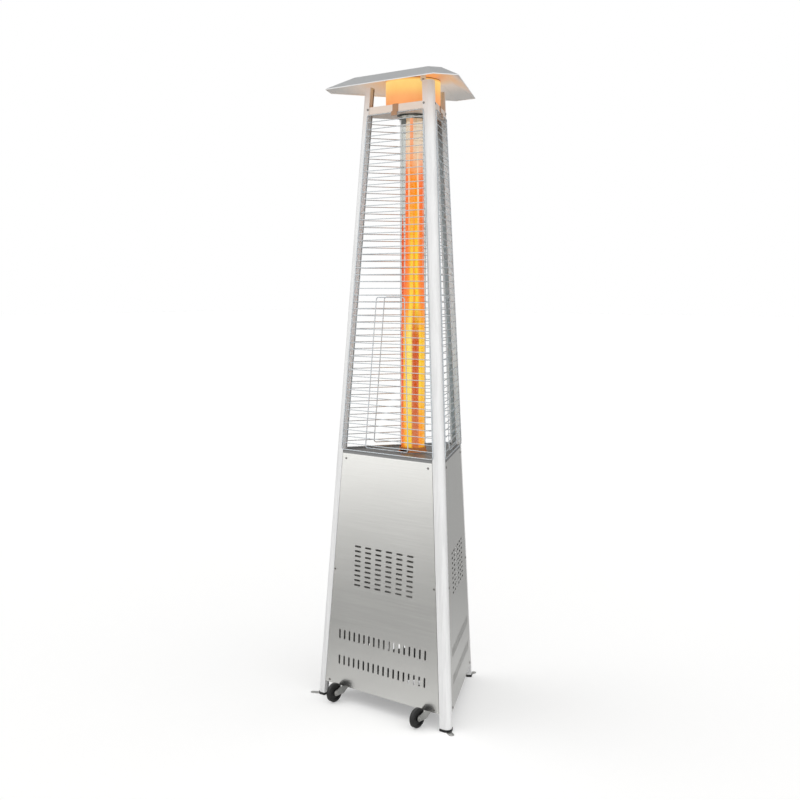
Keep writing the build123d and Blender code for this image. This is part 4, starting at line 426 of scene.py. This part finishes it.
def seat_material():
    """The tube's seat: grey on the deck, with painted orange light from the flame at its wall."""
    parts = new_material("seat_steel")
    _, tree, _, coords, _ = parts
    out = spread(tree, distance_out(tree, coords), *SEAT_WALL_REACH, 0.0, 1.0)
    colour = mix_colour(tree, out, SEAT_PAINTED_GLOW, SEAT_GREY)
    return brush(parts, colour, rough=0.60, stretch=LEVEL_BRUSH, metallic=0.3)


GLASS_LINES = (160.0, 160.0, 1.5)
GLASS_SHADES = [(0.3, (0.72, 0.735, 0.715)), (0.7, (0.78, 0.795, 0.775))]
GLASS_IOR = 1.47
GLASS_SPECULAR = 0.12
GLASS_ROUGHNESS = 0.02
GLASS_BUMP = 0.03


def glass_material():
    """Borosilicate glass with a slight grey-green body and faint drawing lines."""
    mat, tree, bsdf, coords, _ = new_material("tube_glass")
    lines = noise(tree, coords, 1.0, GLASS_LINES, detail=2.0)
    tree.links.new(ramp(tree, lines, GLASS_SHADES), bsdf.inputs["Base Color"])
    bsdf.inputs["Specular IOR Level"].default_value = GLASS_SPECULAR
    bsdf.inputs["Transmission Weight"].default_value = 1.0
    bsdf.inputs["Roughness"].default_value = GLASS_ROUGHNESS
    bsdf.inputs["IOR"].default_value = GLASS_IOR
    bump(tree, bsdf, lines, GLASS_BUMP)
    return mat


panel_steel = brushed("panel_steel", CREAM_STEEL, 0.22, LEVEL_BRUSH, contrast=0.06)
deck_steel = brushed("deck_steel", (0.26, 0.26, 0.255), 0.42, DECK_BRUSH, metallic=0.6)
head_steel = brushed("head_steel", (0.93, 0.81, 0.72), 0.42, LEVEL_BRUSH, metallic=0.6)
# The canopy's brackets: steel with a painted warm glare
painted_glare_bracket_steel = brushed("canopy_bracket_painted_glare", (1.0, 0.92, 0.78), 0.30, LEVEL_BRUSH, metallic=0.5)
clip_steel = brushed("clip_steel", (0.48, 0.28, 0.17), 0.40, LEVEL_BRUSH)
inner_steel = brushed("inner_steel", (0.34, 0.34, 0.34), 0.45, LEVEL_BRUSH)
guard_steel = brushed(
    "guard_wire", (0.66, 0.70, 0.73), 0.26, WIRE_BRUSH, contrast=0.08, metallic=0.8
)
zinc = grained("zinc_plate", (0.62, 0.62, 0.60), 0.32, metallic=1.0, contrast=0.12)
fastener = grained("fastener_steel", (0.30, 0.29, 0.28), 0.34, metallic=1.0, contrast=0.1)
rubber = grained("foot_rubber", (0.012, 0.012, 0.012), 0.55)
wheel_rubber = grained("wheel_rubber", (0.014, 0.014, 0.014), 0.50, strength=0.5)
iron = grained("burner_iron", (0.06, 0.05, 0.045), 0.6, metallic=0.8, strength=0.8)
brass = grained("brass_fitting", (0.62, 0.44, 0.18), 0.28, metallic=1.0, contrast=0.1)
copper = grained("copper_tube", (0.70, 0.32, 0.18), 0.30, metallic=1.0, contrast=0.1)
alloy = grained("alloy_pipe", (0.70, 0.70, 0.71), 0.35, metallic=1.0, contrast=0.08)
valve_alloy = grained("valve_alloy", (0.42, 0.42, 0.43), 0.5, metallic=1.0, strength=0.6)
lead = grained("lead_rubber", (0.30, 0.035, 0.03), 0.5)
plastic = grained("control_plastic", (0.015, 0.015, 0.016), 0.42, contrast=0.15)
button = grained("button_plastic", (0.42, 0.02, 0.015), 0.25, contrast=0.08, strength=0.1)


BY_SLOT = {
    "post_steel": post_material(),
    "foot_rubber": rubber,
    "zinc_plate": zinc,
    "inner_steel": inner_steel,
    "panel_steel": panel_steel,
    "deck_steel": deck_steel,
    "seat_steel": seat_material(),
    "tube_glass": glass_material(),
    "ring_steel": ring_material(),
    "head_steel": head_steel,
    "clip_steel": clip_steel,
    "screen_steel": screen_material(),
    "guard_wire": guard_steel,
    "canopy_steel": canopy_material(),
    "fastener_steel": fastener,
    "burner_iron": iron,
    "brass_fitting": brass,
    "valve_alloy": valve_alloy,
    "control_plastic": plastic,
    "button_plastic": button,
    "copper_tube": copper,
    "alloy_pipe": alloy,
    "lead_rubber": lead,
    "wheel_rubber": wheel_rubber,
}

BY_NODE = {"canopy_brackets": painted_glare_bracket_steel}

for entry in frame["record"]["subparts"]:
    obj = nodes[entry["node"]]
    obj.data.materials.clear()
    obj.data.materials.append(BY_NODE.get(entry["node"], BY_SLOT[entry["material_slot"]]))


# The flame: bodies of streaked light inside the tube

FLAME_HAZE = 0.97
FLAME_STRENGTH = 1.38
RED = (0.90, 0.100, 0.001)
ORANGE = (1.0, 0.185, 0.002)
AMBER = (1.0, 0.30, 0.002)
GOLD = (1.0, 0.53, 0.002)
YELLOW = (1.0, 0.68, 0.014)
PALE = (1.0, 0.84, 0.17)
FIERY = (0.98, 0.145, 0.001)
EMBER = (0.60, 0.080, 0.001)
DUSTY = (0.62, 0.16, 0.055)
BEIGE = (0.92, 0.70, 0.46)

# Streaks round the tube as shares of a turn, with the camera's side at a half
LOW_STREAKS = [
    (0.0, ORANGE), (0.06, AMBER), (0.10, GOLD), (0.15, EMBER), (0.21, GOLD), (0.26, RED),
    (0.35, RED), (0.375, GOLD), (0.41, GOLD), (0.43, PALE), (0.475, PALE), (0.498, EMBER),
    (0.57, EMBER), (0.588, YELLOW), (0.66, GOLD), (0.75, GOLD), (0.79, AMBER), (0.84, YELLOW),
    (0.88, EMBER), (0.95, GOLD), (1.0, ORANGE),
]
FOOT_STREAKS = [
    (0.0, AMBER), (0.12, GOLD), (0.22, DUSTY), (0.30, RED), (0.38, AMBER), (0.43, YELLOW),
    (0.475, YELLOW), (0.498, DUSTY), (0.57, DUSTY), (0.59, AMBER), (0.74, GOLD), (0.84, YELLOW),
    (0.90, DUSTY), (1.0, AMBER),
]
MIDDLE_STREAKS = [
    (0.0, AMBER), (0.08, ORANGE), (0.14, YELLOW), (0.17, AMBER), (0.25, ORANGE), (0.38, ORANGE),
    (0.43, AMBER), (0.455, YELLOW), (0.49, YELLOW), (0.505, AMBER), (0.518, AMBER), (0.53, YELLOW),
    (0.562, YELLOW), (0.585, AMBER), (0.64, ORANGE), (0.75, ORANGE), (0.85, AMBER), (0.91, YELLOW),
    (0.95, ORANGE), (1.0, AMBER),
]
HIGH_STREAKS = [
    (0.0, AMBER), (0.08, ORANGE), (0.14, PALE), (0.17, AMBER), (0.25, FIERY), (0.400, FIERY),
    (0.412, BEIGE), (0.424, BEIGE), (0.440, AMBER), (0.50, AMBER), (0.565, AMBER), (0.575, BEIGE),
    (0.588, BEIGE), (0.605, FIERY), (0.75, FIERY), (0.85, AMBER), (0.91, BEIGE), (0.95, ORANGE),
    (1.0, AMBER),
]

# Heights in metres between which one set of streaks gives way to the next
FLAME_ZONES = [
    (1.05, 1.20, LOW_STREAKS),
    (1.38, 1.52, MIDDLE_STREAKS),
    (1.70, 1.92, HIGH_STREAKS),
]
WAVER_SCALE = 3.0
WAVER_STRETCH = (1.0, 1.0, 1.4)
WAVER_MIDDLE = 0.5
WAVER_ANGLE = 0.22
# The camera's side is put at half a turn, with one turn more so that no place is negative
CAMERA_PLACE_AROUND = 1.5
FLICKER_STRETCH = (110.0, 110.0, 0.8)
FLICKER_STOPS = [(0.35, (0.95, 0.86, 0.70)), (0.60, grey(1.0))]
RAGGED_STRETCH = (70.0, 70.0, 1.5)
RAGGED_HEIGHT = 0.20
TIP_TINT = (2.08, 2.20)
TIP_TINT_SHARE = 0.85
TIP_FADE = (2.05, 2.22)
TIP_HAZE = 0.30
FOOT_FADE = (0.972, 1.000)
FOOT_HAZE = 0.55
STREAK_STRETCH = (200.0, 200.0, 4.0)
STREAK_SHADE = 0.8
STREAK_FADE_IN = 0.05
STREAK_FADE_OUT = 0.06
STREAK_HAZE = 0.35


def flame_tree(name):
    """An empty flame material with its coordinates and its height."""
    mat, tree, bsdf, coords, out = new_material(name)
    tree.nodes.remove(bsdf)
    return mat, tree, coords, out, height_of(tree, coords)


def place_around(tree, coords):
    """The place round the tube as a share of a turn, wavering a little with height."""
    split = tree.nodes.new("ShaderNodeSeparateXYZ")
    tree.links.new(coords, split.inputs[0])
    x, y, _ = split.outputs
    angle = math_node(tree, "ARCTAN2", y, x)
    waver = noise(tree, coords, WAVER_SCALE, WAVER_STRETCH, detail=2.0)
    waver = math_node(tree, "SUBTRACT", waver, WAVER_MIDDLE)
    angle = math_node(tree, "ADD", angle, math_node(tree, "MULTIPLY", waver, WAVER_ANGLE))
    turn = math_node(tree, "SUBTRACT", angle, CAMERA_AZIMUTH)
    turn = math_node(tree, "DIVIDE", turn, math.tau)
    return math_node(tree, "FRACT", math_node(tree, "ADD", turn, CAMERA_PLACE_AROUND))


def glow(tree, out, colour, cover):
    """Light of a colour that covers what is behind it by a share."""
    light = tree.nodes.new("ShaderNodeEmission")
    tree.links.new(colour, light.inputs["Color"])
    light.inputs["Strength"].default_value = FLAME_STRENGTH
    clear = tree.nodes.new("ShaderNodeBsdfTransparent")
    mix = tree.nodes.new("ShaderNodeMixShader")
    tree.links.new(cover, mix.inputs[0])
    tree.links.new(clear.outputs[0], mix.inputs[1])
    tree.links.new(light.outputs[0], mix.inputs[2])
    tree.links.new(mix.outputs[0], out.inputs[0])


def sheath_material():
    """The body of the flame: upright streaks that change up the tube, ragged at the top."""
    mat, tree, coords, out, z = flame_tree("flame_sheath")
    around = place_around(tree, coords)
    colour = ramp(tree, around, FOOT_STREAKS)
    for low, high, streaks in FLAME_ZONES:
        share = spread(tree, z, low, high, 0.0, 1.0)
        colour = mix_colour(tree, share, colour, ramp(tree, around, streaks))
    fine = noise(tree, coords, 1.0, FLICKER_STRETCH, detail=1.0)
    flicker = ramp(tree, fine, FLICKER_STOPS)
    colour = mix_colour(tree, 1.0, colour, flicker, "MULTIPLY")
    edge = noise(tree, coords, 1.0, RAGGED_STRETCH, detail=2.0)
    tip = math_node(tree, "ADD", z, math_node(tree, "MULTIPLY", edge, RAGGED_HEIGHT))
    tinted = spread(tree, tip, *TIP_TINT, 0.0, TIP_TINT_SHARE)
    colour = mix_colour(tree, tinted, colour, BEIGE)
    top = spread(tree, tip, *TIP_FADE, FLAME_HAZE, TIP_HAZE)
    foot = spread(tree, z, *FOOT_FADE, FOOT_HAZE, 1.0)
    glow(tree, out, colour, math_node(tree, "MULTIPLY", top, foot))
    return mat


def streak_material(name, tint, low, high):
    """One thin tongue, fading in above its foot and out below its top."""
    mat, tree, coords, out, z = flame_tree(name)
    fine = noise(tree, coords, 1.0, STREAK_STRETCH, detail=2.0)
    colour = ramp(tree, fine, [(STREAK_LOW, shade(tint, STREAK_SHADE)), (STREAK_HIGH, tint)])
    start = spread(tree, z, low, low + STREAK_FADE_IN, 0.0, 1.0)
    end = spread(tree, z, high - STREAK_FADE_OUT, high, 1.0, STREAK_HAZE)
    glow(tree, out, colour, math_node(tree, "MULTIPLY", start, end))
    return mat


def column(name, profile, sides):
    """A closed column from rings given as (height, distance to the camera's right, radius)."""
    bm = bmesh.new()
    rings = []
    for height, lean, radius in profile:
        ring = []
        for index in range(sides):
            angle = math.tau * index / sides
            x = lean * math.cos(CAMERA_RIGHT) + radius * math.cos(angle)
            y = lean * math.sin(CAMERA_RIGHT) + radius * math.sin(angle)
            ring.append(bm.verts.new((x, y, height)))
        rings.append(ring)
    for lower, upper in zip(rings, rings[1:]):
        for index in range(sides):
            after = (index + 1) % sides
            bm.faces.new((lower[index], lower[after], upper[after], upper[index]))
    bm.faces.new(reversed(rings[0]))
    bm.faces.new(rings[-1])
    mesh = bpy.data.meshes.new(name)
    bm.to_mesh(mesh)
    bm.free()
    for polygon in mesh.polygons:
        polygon.use_smooth = True
    obj = bpy.data.objects.new(name, mesh)
    bpy.context.scene.collection.objects.link(obj)
    return obj


def flame(name, profile, material, sides):
    """A flame body that stays with the heater."""
    obj = column(name, profile, sides)
    obj.data.materials.append(material)
    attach(obj, "heater")


# Profiles as (height, distance to the camera's right, radius), and how many sides each has
SHEATH = [
    (0.976, 0.0, 0.0440),
    (1.000, 0.0, 0.0447),
    (1.420, 0.0, 0.0447),
    (1.480, 0.001, 0.0432),
    (1.560, 0.004, 0.0380),
    (1.640, 0.0055, 0.0345),
    (1.900, 0.0055, 0.0335),
    (2.188, 0.0035, 0.0300),
]
TONGUE = [
    (1.880, -0.0050, 0.0040),
    (1.930, -0.0055, 0.0062),
    (2.100, -0.0055, 0.0062),
    (2.192, -0.0055, 0.0058),
]
WISP = [
    (1.500, -0.0375, 0.0030),
    (1.560, -0.0375, 0.0050),
    (1.740, -0.0380, 0.0048),
    (1.840, -0.0385, 0.0015),
]

SHEATH_SIDES = 48
TONGUE_SIDES = 24
WISP_SIDES = 20
# Heights between which the thin tongues fade in and out
TONGUE_REACH = (1.85, 2.26)
WISP_REACH = (1.47, 1.84)

flame("flame_sheath", SHEATH, sheath_material(), SHEATH_SIDES)
tongue_light = streak_material("flame_tongue", ORANGE, *TONGUE_REACH)
flame("flame_tongue", TONGUE, tongue_light, TONGUE_SIDES)
wisp_light = streak_material("flame_wisp", RED, *WISP_REACH)
flame("flame_wisp", WISP, wisp_light, WISP_SIDES)


# Stage: floor, world, lamp and camera

FLOOR_HALF = 60.0
FLOOR_ROUGHNESS = 0.9
SKY_DIM = 0.45
SKY_BRIGHT = 1.22
SKY_BRIGHT_SIDE = math.radians(-20.0)
# Shares of pointing to a side between which that side's light comes in
SKY_SIDE_EDGES = (-0.5, 0.8)
SHADED_SIDE_EDGES = (-0.2, 0.4)
SHADED_SKY = 0.48
OVERHEAD_EDGES = (0.35, 0.95)
OVERHEAD_SKY = 0.70
SUN_STRENGTH = 0.55
SUN_SOFTNESS = math.radians(50.0)
SUN_AZIMUTH = math.radians(-150.0)
SUN_ELEVATION = math.radians(55.0)
FLOOR_COLOUR = (0.80, 0.80, 0.795)
FLOOR_LIFT = 0.26
SHADED_SIDE = math.radians(105.0)
FLOOR_REACH = 20.0
# How bright the steel mirrors the floor, by distance from the axis as a share of the reach
SHADED_SHARES = [(0.0, 0.62), (0.045, 0.46), (0.09, 0.37), (1.0, 0.37)]
FLOOR_SHARES = [
    (0.0, 0.72), (0.045, 0.50), (0.09, 0.33), (0.15, 0.44), (0.24, 0.53), (0.345, 0.66),
    (0.455, 0.98), (0.60, 1.22), (1.0, 1.22),
]


def ray_kind(tree, names):
    """1 where the ray is any of the named kinds."""
    path = tree.nodes.new("ShaderNodeLightPath")
    value = path.outputs[names[0]]
    for name in names[1:]:
        value = math_node(tree, "MAXIMUM", value, path.outputs[name])
    return value


def mirror_ray(tree):
    """1 where the ray was reflected by a glossy surface, not passed through glass."""
    path = tree.nodes.new("ShaderNodeLightPath")
    clear = math_node(tree, "SUBTRACT", 1.0, path.outputs["Is Transmission Ray"])
    return math_node(tree, "MULTIPLY", path.outputs["Is Glossy Ray"], clear)


def toward(tree, vector, azimuth):
    """How far a direction points to an azimuth, from -1 to 1, level directions only."""
    flat = tree.nodes.new("ShaderNodeVectorMath")
    flat.operation = "MULTIPLY"
    flat.inputs[1].default_value = LEVEL
    tree.links.new(vector, flat.inputs[0])
    unit = tree.nodes.new("ShaderNodeVectorMath")
    unit.operation = "NORMALIZE"
    tree.links.new(flat.outputs[0], unit.inputs[0])
    dot = tree.nodes.new("ShaderNodeVectorMath")
    dot.operation = "DOT_PRODUCT"
    dot.inputs[1].default_value = (math.cos(azimuth), math.sin(azimuth), 0)
    tree.links.new(unit.outputs[0], dot.inputs[0])
    return dot.outputs["Value"]


def make_floor():
    """A wide pale floor that the steel mirrors darker a few steps away, as in a studio."""
    corners = [(-FLOOR_HALF, -FLOOR_HALF, 0), (FLOOR_HALF, -FLOOR_HALF, 0)]
    corners += [(FLOOR_HALF, FLOOR_HALF, 0), (-FLOOR_HALF, FLOOR_HALF, 0)]
    mesh = bpy.data.meshes.new("studio_floor")
    mesh.from_pydata(corners, [], [(0, 1, 2, 3)])
    obj = bpy.data.objects.new("studio_floor", mesh)
    bpy.context.scene.collection.objects.link(obj)
    mat, tree, bsdf, coords, out = new_material("studio_floor")
    length = tree.nodes.new("ShaderNodeVectorMath")
    length.operation = "LENGTH"
    tree.links.new(coords, length.inputs[0])
    reach = math_node(tree, "DIVIDE", length.outputs["Value"], FLOOR_REACH)
    open_side = ramp(tree, reach, [(place, grey(level)) for place, level in FLOOR_SHARES])
    shaded = spread(tree, toward(tree, coords, SHADED_SIDE), *SHADED_SIDE_EDGES, 0.0, 1.0)
    shaded_side = ramp(tree, reach, [(place, grey(level)) for place, level in SHADED_SHARES])
    mirrored = blend_value(tree, shaded, open_side, shaded_side)
    level = blend_value(tree, mirror_ray(tree), 1.0, mirrored)
    colour = mix_colour(tree, 1.0, level, FLOOR_COLOUR, "MULTIPLY")
    tree.links.new(colour, bsdf.inputs["Base Color"])
    bsdf.inputs["Roughness"].default_value = FLOOR_ROUGHNESS
    bsdf.inputs["Specular IOR Level"].default_value = 0.0
    lift = tree.nodes.new("ShaderNodeEmission")
    seen = ray_kind(tree, ["Is Camera Ray", "Is Transmission Ray", "Is Glossy Ray"])
    strength = math_node(tree, "MULTIPLY", math_node(tree, "MULTIPLY", seen, FLOOR_LIFT), level)
    tree.links.new(strength, lift.inputs["Strength"])
    both = tree.nodes.new("ShaderNodeAddShader")
    tree.links.new(bsdf.outputs[0], both.inputs[0])
    tree.links.new(lift.outputs[0], both.inputs[1])
    tree.links.new(both.outputs[0], out.inputs[0])
    mesh.materials.append(mat)


def make_world():
    """A room that is white to the camera, lights the heater from one side and mirrors dimmer."""
    world = bpy.data.worlds.new("studio")
    bpy.context.scene.world = world
    world.use_nodes = True
    tree = world.node_tree
    tree.nodes.clear()
    out = tree.nodes.new("ShaderNodeOutputWorld")
    plain = tree.nodes.new("ShaderNodeBackground")
    plain.inputs["Color"].default_value = (1.0, 1.0, 1.0, 1.0)
    direction = tree.nodes.new("ShaderNodeTexCoord").outputs["Generated"]
    shaded = spread(tree, toward(tree, direction, SHADED_SIDE), *SHADED_SIDE_EDGES, 0.0, 1.0)
    overhead = spread(tree, height_of(tree, direction), *OVERHEAD_EDGES, 1.0, OVERHEAD_SKY)
    mirrored = math_node(tree, "MULTIPLY", blend_value(tree, shaded, 1.0, SHADED_SKY), overhead)
    seen = ray_kind(tree, ["Is Camera Ray", "Is Transmission Ray"])
    side = toward(tree, direction, SKY_BRIGHT_SIDE)
    side = spread(tree, side, *SKY_SIDE_EDGES, SKY_DIM, SKY_BRIGHT)
    strength = blend_value(tree, mirror_ray(tree), blend_value(tree, seen, side, 1.0), mirrored)
    tree.links.new(strength, plain.inputs["Strength"])
    tree.links.new(plain.outputs[0], out.inputs[0])


def make_sun():
    """One broad soft lamp from the camera's left, high up."""
    data = bpy.data.lights.new("sun", "SUN")
    data.energy = SUN_STRENGTH
    data.angle = SUN_SOFTNESS
    obj = bpy.data.objects.new("sun", data)
    level = math.cos(SUN_ELEVATION)
    x = level * math.cos(SUN_AZIMUTH)
    y = level * math.sin(SUN_AZIMUTH)
    source = Vector((x, y, math.sin(SUN_ELEVATION)))
    obj.rotation_euler = source.to_track_quat("Z", "Y").to_euler()
    bpy.context.scene.collection.objects.link(obj)


make_floor()
make_world()
make_sun()

SENSOR_WIDTH = 36.0
LENS = 52.348
CAMERA_PLACE = (2.76536, -3.34580, 1.56935)
CAMERA_TILT = math.radians(90.0) - 0.095814
CAMERA_TURN = 0.701821

camera_data = bpy.data.cameras.new("camera")
camera_data.sensor_width = SENSOR_WIDTH
camera_data.lens = LENS
camera = bpy.data.objects.new("camera", camera_data)
camera.location = CAMERA_PLACE
camera.rotation_euler = (CAMERA_TILT, 0.0, CAMERA_TURN)
bpy.context.scene.collection.objects.link(camera)
bpy.context.scene.camera = camera

bpy.context.scene.view_settings.view_transform = "Standard"
